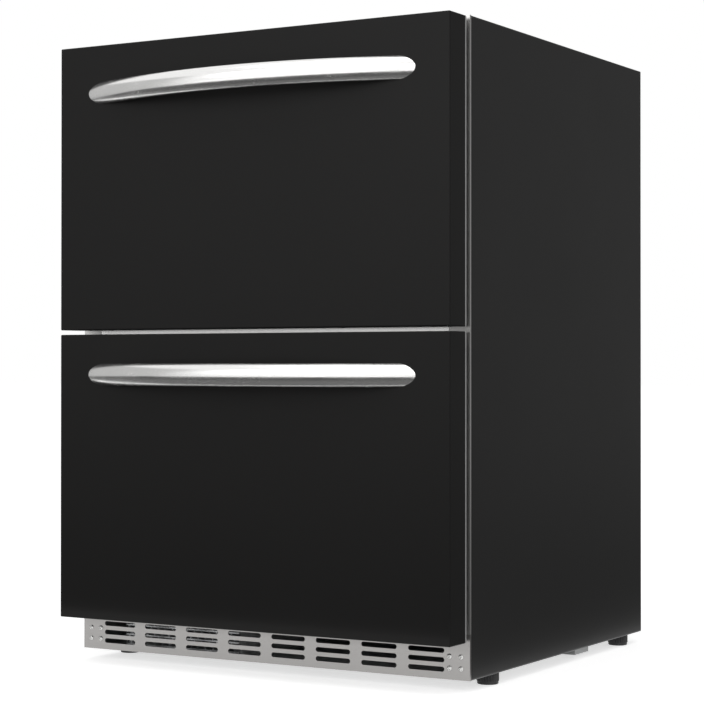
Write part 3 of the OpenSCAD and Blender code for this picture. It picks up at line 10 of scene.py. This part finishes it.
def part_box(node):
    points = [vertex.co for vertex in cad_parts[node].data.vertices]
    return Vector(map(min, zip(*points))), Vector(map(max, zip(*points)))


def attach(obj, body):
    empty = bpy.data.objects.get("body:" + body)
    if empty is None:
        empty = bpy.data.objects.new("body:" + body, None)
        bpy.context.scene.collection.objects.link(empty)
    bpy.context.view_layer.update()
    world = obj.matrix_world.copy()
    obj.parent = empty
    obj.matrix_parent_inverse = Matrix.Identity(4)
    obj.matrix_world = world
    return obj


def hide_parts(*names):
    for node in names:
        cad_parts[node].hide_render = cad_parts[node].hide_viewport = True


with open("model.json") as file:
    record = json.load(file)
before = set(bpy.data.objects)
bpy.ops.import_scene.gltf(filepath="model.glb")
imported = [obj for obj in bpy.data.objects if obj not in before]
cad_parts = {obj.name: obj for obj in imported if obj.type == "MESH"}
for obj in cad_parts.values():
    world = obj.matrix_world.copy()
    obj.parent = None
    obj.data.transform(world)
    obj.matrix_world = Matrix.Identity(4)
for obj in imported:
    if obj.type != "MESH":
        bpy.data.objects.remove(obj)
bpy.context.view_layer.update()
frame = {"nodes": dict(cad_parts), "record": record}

nodes = frame["nodes"]
scene = bpy.context.scene
scene.view_settings.view_transform = "Standard"

# ---------- camera ----------
CAMERA_AT = (1.43014, -2.43852, 0.40007)
CAMERA_YAW = 0.531172
CAMERA_PITCH = 0.0082
CAMERA_ROLL = 0.000384
LENS = 102.963  # on a sensor 36 mm wide
SENSOR = 36.0
CLIP_NEAR = 0.05
CLIP_FAR = 200.0

camera_data = bpy.data.cameras.new("camera")
camera_data.lens = LENS
camera_data.sensor_width = SENSOR
camera_data.clip_start = CLIP_NEAR
camera_data.clip_end = CLIP_FAR
camera = bpy.data.objects.new("camera", camera_data)
camera.matrix_world = (
    Matrix.Translation(CAMERA_AT)
    @ Matrix.Rotation(CAMERA_YAW, 4, "Z")
    @ Matrix.Rotation(math.pi / 2 + CAMERA_PITCH, 4, "X")
    @ Matrix.Rotation(CAMERA_ROLL, 4, "Z")
)
scene.collection.objects.link(camera)
scene.camera = camera


# ---------- node material helpers ----------
BEVEL_SAMPLES = 4
SOCKETS = {
    "colour": "Base Color", "metal": "Metallic", "rough": "Roughness", "normal": "Normal",
    "specular": "Specular IOR Level", "aniso": "Anisotropic", "subsurface": "Subsurface Weight",
}


class Nodes:
    """A material's node tree with short calls for the nodes used here."""

    def __init__(self, name):
        self.material = bpy.data.materials.new(name)
        self.material.use_nodes = True
        self.tree = self.material.node_tree
        self.shader = self.tree.nodes["Principled BSDF"]
        self.coords = self.tree.nodes.new("ShaderNodeTexCoord").outputs["Object"]

    def link(self, a, b):
        self.tree.links.new(a, b)

    def scaled(self, scale):
        mapping = self.tree.nodes.new("ShaderNodeMapping")
        mapping.inputs["Scale"].default_value = scale
        self.link(self.coords, mapping.inputs["Vector"])
        return mapping.outputs["Vector"]

    def noise(self, scale, detail=4.0, rough=0.55, vector=None):
        n = self.tree.nodes.new("ShaderNodeTexNoise")
        n.inputs["Scale"].default_value = scale
        n.inputs["Detail"].default_value = detail
        n.inputs["Roughness"].default_value = rough
        self.link(vector or self.coords, n.inputs["Vector"])
        return n.outputs["Fac"]

    def voronoi(self, scale, output="Distance"):
        n = self.tree.nodes.new("ShaderNodeTexVoronoi")
        n.inputs["Scale"].default_value = scale
        self.link(self.coords, n.inputs["Vector"])
        return n.outputs[output]

    def span(self, value, low, high, to_low, to_high):
        """The value's range low to high taken to another range, clamped."""
        n = self.tree.nodes.new("ShaderNodeMapRange")
        n.inputs["From Min"].default_value = low
        n.inputs["From Max"].default_value = high
        n.inputs["To Min"].default_value = to_low
        n.inputs["To Max"].default_value = to_high
        self.link(value, n.inputs["Value"])
        return n.outputs["Result"]

    def math(self, op, a, b):
        n = self.tree.nodes.new("ShaderNodeMath")
        n.operation = op
        for socket, v in zip(n.inputs, (a, b)):
            if isinstance(v, (int, float)):
                socket.default_value = v
            else:
                self.link(v, socket)
        return n.outputs["Value"]

    def axis(self, name):
        """One object coordinate: X, Y or Z."""
        split = self.tree.nodes.new("ShaderNodeSeparateXYZ")
        self.link(self.coords, split.inputs["Vector"])
        return split.outputs[name]

    def ramp(self, value, stops):
        n = self.tree.nodes.new("ShaderNodeValToRGB")
        elements = n.color_ramp.elements
        while len(elements) < len(stops):
            elements.new(0.5)
        for e, (at, colour) in zip(elements, stops):
            e.position = at
            e.color = (*colour, 1.0)
        self.link(value, n.inputs["Fac"])
        return n.outputs["Color"]

    def mix(self, factor, a, b):
        n = self.tree.nodes.new("ShaderNodeMix")
        n.data_type = "RGBA"
        for name, kind, v in (("Factor", "VALUE", factor), ("A", "RGBA", a), ("B", "RGBA", b)):
            socket = next(s for s in n.inputs if s.name == name and s.type == kind)
            if isinstance(v, tuple):
                socket.default_value = (*v, 1.0)
            else:
                self.link(v, socket)
        return next(s for s in n.outputs if s.type == "RGBA")

    def edges(self, radius, reach):
        """1 on outside edges, 0 on flat faces: the mask of paler edges, part wear and part painted
        highlight.
        """
        n = self.tree.nodes.new("ShaderNodeBevel")
        n.samples = BEVEL_SAMPLES
        n.inputs["Radius"].default_value = radius
        geometry = self.tree.nodes.new("ShaderNodeNewGeometry")
        dot = self.tree.nodes.new("ShaderNodeVectorMath")
        dot.operation = "DOT_PRODUCT"
        self.link(n.outputs["Normal"], dot.inputs[0])
        self.link(geometry.outputs["Normal"], dot.inputs[1])
        return self.span(dot.outputs["Value"], 1.0, 1.0 - reach, 0.0, 1.0)

    def bump(self, height, strength, distance):
        n = self.tree.nodes.new("ShaderNodeBump")
        n.inputs["Strength"].default_value = strength
        n.inputs["Distance"].default_value = distance
        self.link(height, n.inputs["Height"])
        return n.outputs["Normal"]

    def set(self, **values):
        """Sets the shader's own sockets: a number directly, an output by a link."""
        for key, v in values.items():
            socket = self.shader.inputs[SOCKETS[key]]
            if isinstance(v, (int, float)):
                socket.default_value = v
            else:
                self.link(v, socket)


def shade(colour, factor):
    """The colour made darker or paler."""
    return tuple(c * factor for c in colour)


def enamel(name, colour, rough, specular, peel=0.0002, bare=None):
    """Sprayed paint: faint orange peel, slow tone drift, a little dust, and paler edges that are
    part wear and part painted highlight.

    bare is the half width, the back plane and the top inside which the sheet has no paint."""
    n = Nodes(name)
    body = n.ramp(n.noise(1.6, 2.0), [(0.3, shade(colour, 0.96)), (0.7, shade(colour, 1.04))])
    speck = n.span(n.noise(420.0, 5.0, 0.7), 0.66, 0.82, 0.0, 0.12)
    # paler outside edges: part wear, part a painted highlight along the edges
    worn_and_highlit = n.math("MULTIPLY", n.edges(0.0008, 0.4), 0.3)
    paint = n.mix(n.math("MAXIMUM", speck, worn_and_highlit), body, shade(colour, 1.9))
    if bare:
        inside = n.math("LESS_THAN", n.math("ABSOLUTE", n.axis("X"), 0.0), bare[0])
        for axis, limit in zip("YZ", bare[1:]):
            inside = n.math("MULTIPLY", inside, n.math("LESS_THAN", n.axis(axis), limit))
        paint = n.mix(inside, paint, BARE_SHEET)
    n.set(
        colour=paint,
        rough=n.span(n.noise(5.0, 2.0), 0.3, 0.7, rough - 0.015, rough + 0.015),
        specular=specular,
        normal=n.bump(n.noise(1100.0, 2.0), 0.2, peel),
    )
    return n.material


BRUSH_FINE = (0.5, 1300.0)  # scale of the noise along the lines and across them
BRUSH_BROAD = (0.03, 78.0)
BRUSH_TONE = 0.06
BRUSH_ANISO = 0.3


def stretched(scale, along):
    """One scale for each axis, from the scale along the lines and the one across them."""
    return [scale[0] if axis == along else scale[1] for axis in "xyz"]


def brushed(name, colour, rough, along, grain=0.06):
    """Brushed stainless: fine lines along one axis in the gloss, the tone and the bump.

    grain is how much the gloss changes from one broad band of lines to the next."""
    n = Nodes(name)
    lines = n.noise(1.0, 3.0, 0.7, n.scaled(stretched(BRUSH_FINE, along)))
    broad = n.noise(1.0, 2.0, 0.5, n.scaled(stretched(BRUSH_BROAD, along)))
    cloud = n.noise(6.0, 3.0)
    light = n.mix(lines, shade(colour, 1.0 - BRUSH_TONE), shade(colour, 1.0 + BRUSH_TONE))
    n.set(
        colour=n.mix(n.span(cloud, 0.3, 0.7, 0.0, 0.18), light, shade(colour, 0.9)),
        metal=1.0,
        rough=n.math("ADD", n.span(broad, 0.3, 0.7, rough - grain, rough + grain),
                     n.span(lines, 0.3, 0.7, -0.03, 0.03)),
        aniso=BRUSH_ANISO,
        normal=n.bump(lines, 0.12, 0.0001),
    )
    return n.material


def sheet_metal(name, colour, rough, metal=1.0, cut_edge=None):
    """Galvanised sheet: spangle of crystal flakes with a different tone and gloss each.

    cut_edge is the y below which the sheet's edge is dark."""
    n = Nodes(name)
    flake = n.voronoi(130.0, output="Color")
    split = n.tree.nodes.new("ShaderNodeSeparateColor")
    n.link(flake, split.inputs["Color"])
    tone = n.ramp(split.outputs["Red"], [(0.0, shade(colour, 0.84)), (1.0, shade(colour, 1.1))])
    stain = n.span(n.noise(9.0, 5.0), 0.5, 0.75, 0.0, 0.35)
    surface = n.mix(stain, tone, shade(colour, 0.72))
    if cut_edge is not None:
        surface = n.mix(n.math("LESS_THAN", n.axis("Y"), cut_edge), surface, shade(colour, 0.1))
    n.set(
        colour=surface,
        metal=metal,
        rough=n.span(split.outputs["Green"], 0.0, 1.0, rough - 0.07, rough + 0.1),
        normal=n.bump(n.noise(420.0, 3.0), 0.1, 0.0002),
    )
    return n.material


def moulded(name, colour, rough, grain=1400.0, depth=0.0002, subsurface=0.0):
    """Moulded plastic: fine spark-eroded grain and slow changes of tone."""
    n = Nodes(name)
    tone = n.ramp(n.noise(14.0, 4.0), [(0.3, shade(colour, 0.92)), (0.7, shade(colour, 1.06))])
    # paler outside edges: part wear, part a painted highlight along the edges
    worn_and_highlit = n.edges(0.0012, 0.35)
    n.set(
        colour=n.mix(n.math("MULTIPLY", worn_and_highlit, 0.35), tone, shade(colour, 1.35)),
        rough=n.span(n.noise(55.0, 4.0), 0.3, 0.7, rough - 0.06, rough + 0.08),
        subsurface=subsurface,
        normal=n.bump(n.voronoi(grain), 0.3, depth),
    )
    return n.material


def rubber(name, colour):
    """Moulded rubber: dull, with a pale bloom in clouds."""
    n = Nodes(name)
    bloom = n.span(n.noise(30.0, 5.0), 0.45, 0.75, 0.0, 0.5)
    n.set(
        colour=n.mix(bloom, colour, shade(colour, 1.7)),
        rough=n.span(n.noise(90.0, 3.0), 0.3, 0.7, 0.62, 0.8),
        normal=n.bump(n.noise(1500.0, 3.0), 0.35, 0.0003),
    )
    return n.material


def foam_block(name, colour):
    """Blown foam: fine cells, darker in their middles, a painted shade in the cells' hollows."""
    n = Nodes(name)
    cells = n.voronoi(700.0)
    n.set(
        # darker where the cells dip: painted shade in their hollows
        colour=n.mix(n.span(cells, 0.0, 0.7, 0.0, 1.0), shade(colour, 0.72), colour),
        rough=n.span(n.noise(60.0, 3.0), 0.3, 0.7, 0.82, 0.95),
        normal=n.bump(cells, 0.6, 0.0008),
    )
    return n.material


def drawn_metal(name, colour, rough, tarnish):
    """Copper tube, zinc screws and aluminium fins: tarnish in clouds, fine scratches."""
    n = Nodes(name)
    cloud = n.span(n.noise(22.0, 5.0, 0.6), 0.45, 0.75, 0.0, 0.6)
    scratch = n.noise(1.0, 4.0, 0.7, n.scaled((900.0, 900.0, 60.0)))
    n.set(
        colour=n.mix(cloud, colour, tarnish),
        metal=1.0,
        rough=n.span(n.noise(160.0, 4.0), 0.3, 0.7, rough - 0.06, rough + 0.1),
        normal=n.bump(scratch, 0.12, 0.0001),
    )
    return n.material


def diffuser(name, colour):
    """Milky lamp cover with fine ribs across."""
    n = Nodes(name)
    ribs = n.noise(1.0, 1.0, 0.5, n.scaled((900.0, 20.0, 20.0)))
    n.set(
        colour=n.mix(n.noise(40.0, 3.0), shade(colour, 0.94), colour),
        rough=n.span(ribs, 0.3, 0.7, 0.3, 0.45),
        subsurface=0.2,
        normal=n.bump(ribs, 0.3, 0.0003),
    )
    return n.material


# ---------- materials ----------
BLACK = (0.0073, 0.0071, 0.0069)
BARE_SHEET = (0.40, 0.405, 0.41)
SKIN = 0.001  # within this of a panel's outside there is paint, also round its bends
CUT = 0.0012  # depth of the baffle's dark front edge
panel_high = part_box("right_side_panel")[1]
inside_panels = tuple(v - SKIN for v in panel_high)

black_front = enamel("black_front_paint", BLACK, 0.42, 0.12)
black_side = enamel("black_side_paint", BLACK, 0.46, 0.3, bare=inside_panels)
black_top = enamel("black_top_paint", BLACK, 0.46, 0.3)
# the handle's steel is paler than real stainless, a painted highlight on the bar
handle_steel = brushed("handle_steel", (0.86, 0.855, 0.845), 0.22, "x")
# the other stainless parts, the kick grille among them, are darker than the rest of the steel, a
# painted shade
front_steel = brushed("front_steel", (0.335, 0.327, 0.320), 0.34, "x")
mullion_steel = brushed("mullion_steel", (0.72, 0.715, 0.705), 0.21, "x", 0.03)
frame_steel = brushed("frame_steel", (0.55, 0.545, 0.535), 0.34, "z", 0.03)
bin_steel = brushed("bin_steel", (0.60, 0.60, 0.595), 0.36, "y")
zinc = sheet_metal("galvanised_sheet", (0.50, 0.51, 0.52), 0.5)
baffle_zinc = sheet_metal("baffle_sheet", (0.55, 0.555, 0.56), 0.62, 0.2,
                          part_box("air_baffle")[0].y + CUT)
deck_zinc = sheet_metal("deck_sheet", (0.45, 0.455, 0.46), 0.6, 0.2)
screw_zinc = drawn_metal("screw_zinc", (0.60, 0.60, 0.59), 0.22, (0.42, 0.42, 0.41))
slide_zinc = drawn_metal("slide_zinc", (0.60, 0.61, 0.62), 0.30, (0.42, 0.43, 0.45))
fins = drawn_metal("fin_aluminium", (0.68, 0.69, 0.70), 0.46, (0.52, 0.52, 0.52))
copper = drawn_metal("copper_tube", (0.72, 0.36, 0.21), 0.28, (0.30, 0.16, 0.10))
liner_white = moulded("liner_plastic", (0.72, 0.725, 0.72), 0.36, 600.0, 0.0001, 0.05)
panel_grey = moulded("panel_plastic", (0.32, 0.32, 0.32), 0.34, 800.0, 0.0001)
grey_plastic = moulded("grey_plastic", (0.50, 0.51, 0.51), 0.45)
black_plastic = moulded("black_plastic", (0.020, 0.020, 0.021), 0.5)
foot_plastic = moulded("foot_plastic", (0.016, 0.016, 0.017), 0.48)
fan_plastic = moulded("fan_plastic", (0.62, 0.62, 0.60), 0.42)
compressor_paint = enamel("compressor_paint", (0.016, 0.016, 0.017), 0.3, 0.5, 0.0008)
gasket_rubber = rubber("gasket_rubber", (0.016, 0.016, 0.017))
grommet_rubber = rubber("grommet_rubber", (0.028, 0.026, 0.025))
foam = foam_block("foam", (0.78, 0.68, 0.42))
lamp = diffuser("lamp_diffuser", (0.82, 0.83, 0.80))

BY_SLOT = {
    "black_paint": black_front, "galvanised": zinc, "stainless": front_steel,
    "screw_steel": screw_zinc, "slide_steel": slide_zinc, "liner_plastic": liner_white,
    "panel_plastic": panel_grey, "foam": foam, "gasket_rubber": gasket_rubber,
    "grommet_rubber": grommet_rubber, "foot_plastic": foot_plastic,
    "compressor_paint": compressor_paint, "black_plastic": black_plastic,
    "fan_plastic": fan_plastic, "coil_aluminium": fins, "copper": copper,
    "grey_plastic": grey_plastic, "lamp_diffuser": lamp,
}
BY_NODE = {
    "left_side_panel": black_side, "right_side_panel": black_side, "top_panel": black_top,
    "upper_handle": handle_steel, "lower_handle": handle_steel,
    "front_frame": frame_steel, "centre_mullion": mullion_steel,
    "upper_bin": bin_steel, "lower_bin": bin_steel, "air_baffle": baffle_zinc,
    "base_plate": deck_zinc,
}

slot_of = {s["node"]: s["material_slot"] for s in frame["record"]["subparts"]}
for name, obj in nodes.items():
    material = BY_NODE.get(name) or BY_SLOT[slot_of[name]]
    if not obj.data.materials:
        obj.data.materials.append(material)
    for i in range(len(obj.data.materials)):
        obj.data.materials[i] = material

# ---------- pieces finer than their CAD solids ----------
SHARP_FROM = math.radians(35)


def new_piece(name, mesh, material):
    """An object for a mesh, smooth but for its sharp edges."""
    mesh.materials.append(material)
    mesh.shade_smooth()
    mesh.set_sharp_from_angle(angle=SHARP_FROM)
    piece = bpy.data.objects.new(name, mesh)
    scene.collection.objects.link(piece)
    return piece


def arc_points(centre, radius, start, end, steps):
    """Points of an arc in a plane, angles in radians."""
    return [
        (centre[0] + radius * math.cos(start + (end - start) * i / steps),
         centre[1] + radius * math.sin(start + (end - start) * i / steps))
        for i in range(steps + 1)
    ]


BAR_DEPTH = 0.021
BAR_EDGE = 0.005  # depth of the flat top and bottom edges
BAR_SOFT = 0.0012  # radius on the edges between the arcs and the flats
BOW_STEPS = 180
BOW_PAST = 1.06  # the sweep's angle over the one that ends at the face, where it is cut off
ARC_STEPS = 16
SOFT_STEPS = 6


def bar_profile(height):
    """The bar's section, outwards and upwards from its middle: two arcs with softened edges."""
    rise = (BAR_DEPTH - BAR_EDGE) / 2
    radius = (height * height / 4 + rise * rise) / (2 * rise)
    centre = BAR_DEPTH / 2 - radius
    soft_v = height / 2 - BAR_SOFT
    soft_u = centre + math.sqrt((radius - BAR_SOFT) ** 2 - soft_v ** 2)
    turn = math.atan2(soft_v, soft_u - centre)
    quarter = arc_points((centre, 0.0), radius, 0.0, turn, ARC_STEPS)
    quarter += arc_points((soft_u, soft_v), BAR_SOFT, turn, math.pi / 2, SOFT_STEPS)[1:]
    back = [(-u, v) for u, v in reversed(quarter)]
    upper = quarter + back
    lower = [(u, -v) for u, v in reversed(upper)]
    return upper + lower[1:-1]


def bowed_handle(node, material):
    """Sweeps the bar's section along the bow and cuts it off flat on the drawer front."""
    low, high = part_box(node)
    half, out = (high.x - low.x) / 2, high.y - low.y
    bow = (half * half + out * out) / (2 * out)
    centre_y, centre_z = low.y + bow, (low.z + high.z) / 2
    profile = bar_profile(high.z - low.z)
    reach = math.asin(half / bow) * BOW_PAST
    mesh = bpy.data.meshes.new(node + "_bow")
    bm = bmesh.new()
    rings = []
    for i in range(BOW_STEPS + 1):
        turn = -reach + 2 * reach * i / BOW_STEPS
        ring = []
        for u, v in profile:
            rho = bow - BAR_DEPTH / 2 + u
            at = (rho * math.sin(turn), centre_y - rho * math.cos(turn), centre_z + v)
            ring.append(bm.verts.new(at))
        rings.append(ring)
    count = len(profile)
    for a, b in zip(rings, rings[1:]):
        for k in range(count):
            bm.faces.new((a[k], b[k], b[(k + 1) % count], a[(k + 1) % count]))
    bm.faces.new(rings[0])
    bm.faces.new(list(reversed(rings[-1])))
    cut = bmesh.ops.bisect_plane(
        bm, geom=bm.verts[:] + bm.edges[:] + bm.faces[:], plane_co=(0, high.y, 0),
        plane_no=(0, 1, 0), clear_outer=True)
    rim = [e for e in cut["geom_cut"] if isinstance(e, bmesh.types.BMEdge)]
    bmesh.ops.edgeloop_fill(bm, edges=rim)
    bmesh.ops.recalc_face_normals(bm, faces=bm.faces[:])
    bm.to_mesh(mesh)
    bm.free()
    piece = new_piece(node + "_bow", mesh, material)
    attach(piece, node.replace("_handle", "_drawer"))
    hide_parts(node)


for handle in ("upper_handle", "lower_handle"):
    bowed_handle(handle, handle_steel)

SCREW_HEAD_H = 0.0019
SCREW_SHANK_R = 0.0018
SCREW_SPREAD = 0.0074  # no two vertices of one screw are further apart across it
SCREW_SIDE_H = 0.0004  # upright rim under the head's dome
SCREW_TURNS = 64
HEAD_RINGS = 40
DOME_POWER = 4  # flat on top, steep at the rim
TWIST_STEP = 0.65  # turn from one screw's cross to the next
RECESS_REACH = 0.0020  # from the middle to the end of an arm of the cross
RECESS_HALF = 0.0006  # half the width of an arm
RECESS_SLOPE = 0.0002
RECESS_DEPTH = 0.0015
RECESS_FALL = 0.5  # share of the depth that is lost by the end of an arm


def screw_groups(node):
    """The node's vertices, one list for each screw."""
    obj = nodes[node]
    groups = []
    for v in obj.data.vertices:
        p = obj.matrix_world @ v.co
        for g in groups:
            if abs(p.x - g[0].x) < SCREW_SPREAD and abs(p.z - g[0].z) < SCREW_SPREAD:
                g.append(p)
                break
        else:
            groups.append([p])
    return groups


def recess(u, v):
    """Depth of the cross recess at a point of the head."""
    outside = min(max(abs(u) - RECESS_HALF, abs(v) - RECESS_REACH),
                  max(abs(v) - RECESS_HALF, abs(u) - RECESS_REACH))
    fall = 1.0 - RECESS_FALL * math.hypot(u, v) / RECESS_REACH
    return RECESS_DEPTH * fall * min(max(-outside / RECESS_SLOPE, 0.0), 1.0)


def cross_screw(bm, group, out, twist):
    """A pan-head screw with a cross recess in place of its plain CAD solid; out is its side of y."""
    xs, ys, zs = ([p[k] for p in group] for k in range(3))
    head_r = (max(xs) - min(xs)) / 2
    middle_x, middle_z = (max(xs) + min(xs)) / 2, (max(zs) + min(zs)) / 2
    top = max(ys) if out > 0 else min(ys)
    shank = max(ys) - min(ys) - SCREW_HEAD_H
    rings = []
    for i in range(1, HEAD_RINGS + 1):
        part = i / HEAD_RINGS
        drop = (SCREW_HEAD_H - SCREW_SIDE_H) * part ** DOME_POWER
        rings.append((head_r * part, SCREW_HEAD_H - drop))
    rings += [(head_r, 0.0), (SCREW_SHANK_R, 0.0), (SCREW_SHANK_R, SCREW_SHANK_R - shank)]

    def vertex(radius, height, turn):
        u, v = radius * math.cos(turn), radius * math.sin(turn)
        sunk = recess(u, v) if height > 0 else 0.0
        across, up = (u * math.cos(twist) - v * math.sin(twist),
                      u * math.sin(twist) + v * math.cos(twist))
        y = top + out * (height - sunk - SCREW_HEAD_H)
        return bm.verts.new((middle_x + across, y, middle_z + up))

    turns = [2 * math.pi * k / SCREW_TURNS for k in range(SCREW_TURNS)]
    loops = [[vertex(r, h, t) for t in turns] for r, h in rings]
    crown = vertex(0.0, SCREW_HEAD_H, 0.0)
    tip = vertex(0.0, -shank, 0.0)
    for k in range(SCREW_TURNS):
        j = (k + 1) % SCREW_TURNS
        bm.faces.new((crown, loops[0][k], loops[0][j]))
        bm.faces.new((tip, loops[-1][j], loops[-1][k]))
        for a, b in zip(loops, loops[1:]):
            bm.faces.new((a[k], b[k], b[j], a[j]))


def cross_screws(node, out):
    """The pan-head screws of a node, each with its cross turned a little further."""
    bm = bmesh.new()
    for i, group in enumerate(screw_groups(node)):
        cross_screw(bm, group, out, TWIST_STEP * i)
    bmesh.ops.recalc_face_normals(bm, faces=bm.faces[:])
    mesh = bpy.data.meshes.new(node + "_cross")
    bm.to_mesh(mesh)
    bm.free()
    piece = new_piece(node + "_cross", mesh, screw_zinc)
    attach(piece, "cabinet")
    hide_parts(node)


cross_screws("kick_grille_screws", -1)
cross_screws("rear_cover_screws", 1)

# ---------- studio ----------
FLOOR_HALF = 40.0
FLOOR_COLOUR = (0.8, 0.8, 0.8, 1.0)
FLOOR_GLOW = 0.62
WORLD_LIGHT = 0.55  # what the world adds as light; the eye and mirrors see plain white
CARD_FOOT = 0.02  # height of an upright card's lower edge
WALL_TOP = 3.2  # height of the cards behind the part
FRONT_CARDS_X = (-4.0, 2.6)
FRONT_CARDS_HIGH = 0.07
FRONT_CARDS_MEET = -0.66  # the y where the far card ends and the near one starts


def seen_directly(tree):
    """1 for camera, glossy and transmission rays, 0 for rays that only gather light."""
    path = tree.nodes.new("ShaderNodeLightPath")
    total = path.outputs["Is Camera Ray"]
    for name in ("Is Glossy Ray", "Is Transmission Ray"):
        either = tree.nodes.new("ShaderNodeMath")
        either.operation = "MAXIMUM"
        tree.links.new(total, either.inputs[0])
        tree.links.new(path.outputs[name], either.inputs[1])
        total = either.outputs["Value"]
    return total


def stage_floor():
    """A floor that glows for the camera and for mirrors, and gives the part no light by that."""
    mesh = bpy.data.meshes.new("studio_floor")
    s = FLOOR_HALF
    mesh.from_pydata([(-s, -s, 0), (s, -s, 0), (s, s, 0), (-s, s, 0)], [], [(0, 1, 2, 3)])
    floor = bpy.data.objects.new("studio_floor", mesh)
    scene.collection.objects.link(floor)
    material = bpy.data.materials.new("studio_floor")
    material.use_nodes = True
    tree = material.node_tree
    tree.nodes.clear()
    output = tree.nodes.new("ShaderNodeOutputMaterial")
    diffuse = tree.nodes.new("ShaderNodeBsdfDiffuse")
    diffuse.inputs["Color"].default_value = FLOOR_COLOUR
    glow = tree.nodes.new("ShaderNodeEmission")
    glow.inputs["Strength"].default_value = FLOOR_GLOW
    add = tree.nodes.new("ShaderNodeAddShader")
    pick = tree.nodes.new("ShaderNodeMixShader")
    tree.links.new(diffuse.outputs[0], add.inputs[0])
    tree.links.new(glow.outputs[0], add.inputs[1])
    tree.links.new(seen_directly(tree), pick.inputs["Fac"])
    tree.links.new(diffuse.outputs[0], pick.inputs[1])
    tree.links.new(add.outputs[0], pick.inputs[2])
    tree.links.new(pick.outputs[0], output.inputs["Surface"])
    mesh.materials.append(material)


def studio_world():
    """An even world, plain white where it is seen directly and weaker as light."""
    world = bpy.data.worlds.new("studio")
    scene.world = world
    world.use_nodes = True
    tree = world.node_tree
    background = tree.nodes["Background"]
    background.inputs["Color"].default_value = (1, 1, 1, 1)
    strength = tree.nodes.new("ShaderNodeMapRange")
    strength.inputs["To Min"].default_value = WORLD_LIGHT
    strength.inputs["To Max"].default_value = 1.0
    tree.links.new(seen_directly(tree), strength.inputs["Value"])
    tree.links.new(strength.outputs["Result"], background.inputs["Strength"])


def softbox(name, at, towards, size, watts):
    """A white rectangular light at one point, turned towards another."""
    data = bpy.data.lights.new(name, "AREA")
    data.shape = "RECTANGLE"
    data.size, data.size_y = size
    data.energy = watts
    lamp_object = bpy.data.objects.new(name, data)
    lamp_object.location = at
    aim = Vector(towards) - Vector(at)
    lamp_object.rotation_euler = aim.to_track_quat("-Z", "Y").to_euler()
    scene.collection.objects.link(lamp_object)


def studio_card(name, corners, tone):
    """A grey card that only reflections see, and only from its front, as set beside metal."""
    mesh = bpy.data.meshes.new(name)
    mesh.from_pydata(corners, [], [(0, 1, 2, 3)])
    card = bpy.data.objects.new(name, mesh)
    scene.collection.objects.link(card)
    material = bpy.data.materials.new(name)
    material.use_nodes = True
    tree = material.node_tree
    tree.nodes.clear()
    output = tree.nodes.new("ShaderNodeOutputMaterial")
    grey = tree.nodes.new("ShaderNodeEmission")
    grey.inputs["Strength"].default_value = tone
    clear = tree.nodes.new("ShaderNodeBsdfTransparent")
    side = tree.nodes.new("ShaderNodeNewGeometry")
    pick = tree.nodes.new("ShaderNodeMixShader")
    tree.links.new(side.outputs["Backfacing"], pick.inputs["Fac"])
    tree.links.new(grey.outputs[0], pick.inputs[1])
    tree.links.new(clear.outputs[0], pick.inputs[2])
    tree.links.new(pick.outputs[0], output.inputs["Surface"])
    mesh.materials.append(material)
    card.visible_camera = False
    card.visible_diffuse = False
    card.visible_shadow = False
    card.visible_transmission = False


def low_card(name, x, y, height, tone):
    """A card lying face up, between two values of x and two of y."""
    studio_card(name, [(x[0], y[0], height), (x[1], y[0], height), (x[1], y[1], height),
                       (x[0], y[1], height)], tone)


def wall_card(name, start, end, top, tone):
    """An upright card from start to end, facing the side on the left of that way."""
    studio_card(name, [(*end, CARD_FOOT), (*start, CARD_FOOT), (*start, top), (*end, top)], tone)


stage_floor()
studio_world()
# behind the right side, which the photograph shows darker than the front
wall_card("right_card", (3.2, 0.6), (0.2, 3.2), WALL_TOP, 0.31)
wall_card("rear_card", (0.2, 3.2), (-1.8, 3.2), WALL_TOP, 0.2)
low_card("right_low_card", (0.33, 3.2), (-0.2, 3.2), 0.01, 0.14)
# on the left, where the handles' ends fade
wall_card("left_card", (-2.6, 0.4), (-2.2, -2.2), 2.2, 0.55)
# low in front, for the dark line under the handles' highlight and the grey below it
low_card("front_low_card", FRONT_CARDS_X, (-1.6, FRONT_CARDS_MEET), FRONT_CARDS_HIGH, 0.1)
low_card("front_near_card", FRONT_CARDS_X, (FRONT_CARDS_MEET, -0.30), FRONT_CARDS_HIGH, 0.16)
softbox("top_softbox", (0.3, -1.2, 3.2), (0.0, -0.1, 0.4), (3.0, 2.0), 22.0)
softbox("front_softbox", (-0.35, -3.4, 1.7), (0.0, -0.3, 0.5), (3.4, 1.9), 31.0)
softbox("right_softbox", (3.0, -2.0, 1.8), (0.0, 0.0, 0.4), (1.6, 2.4), 10.0)
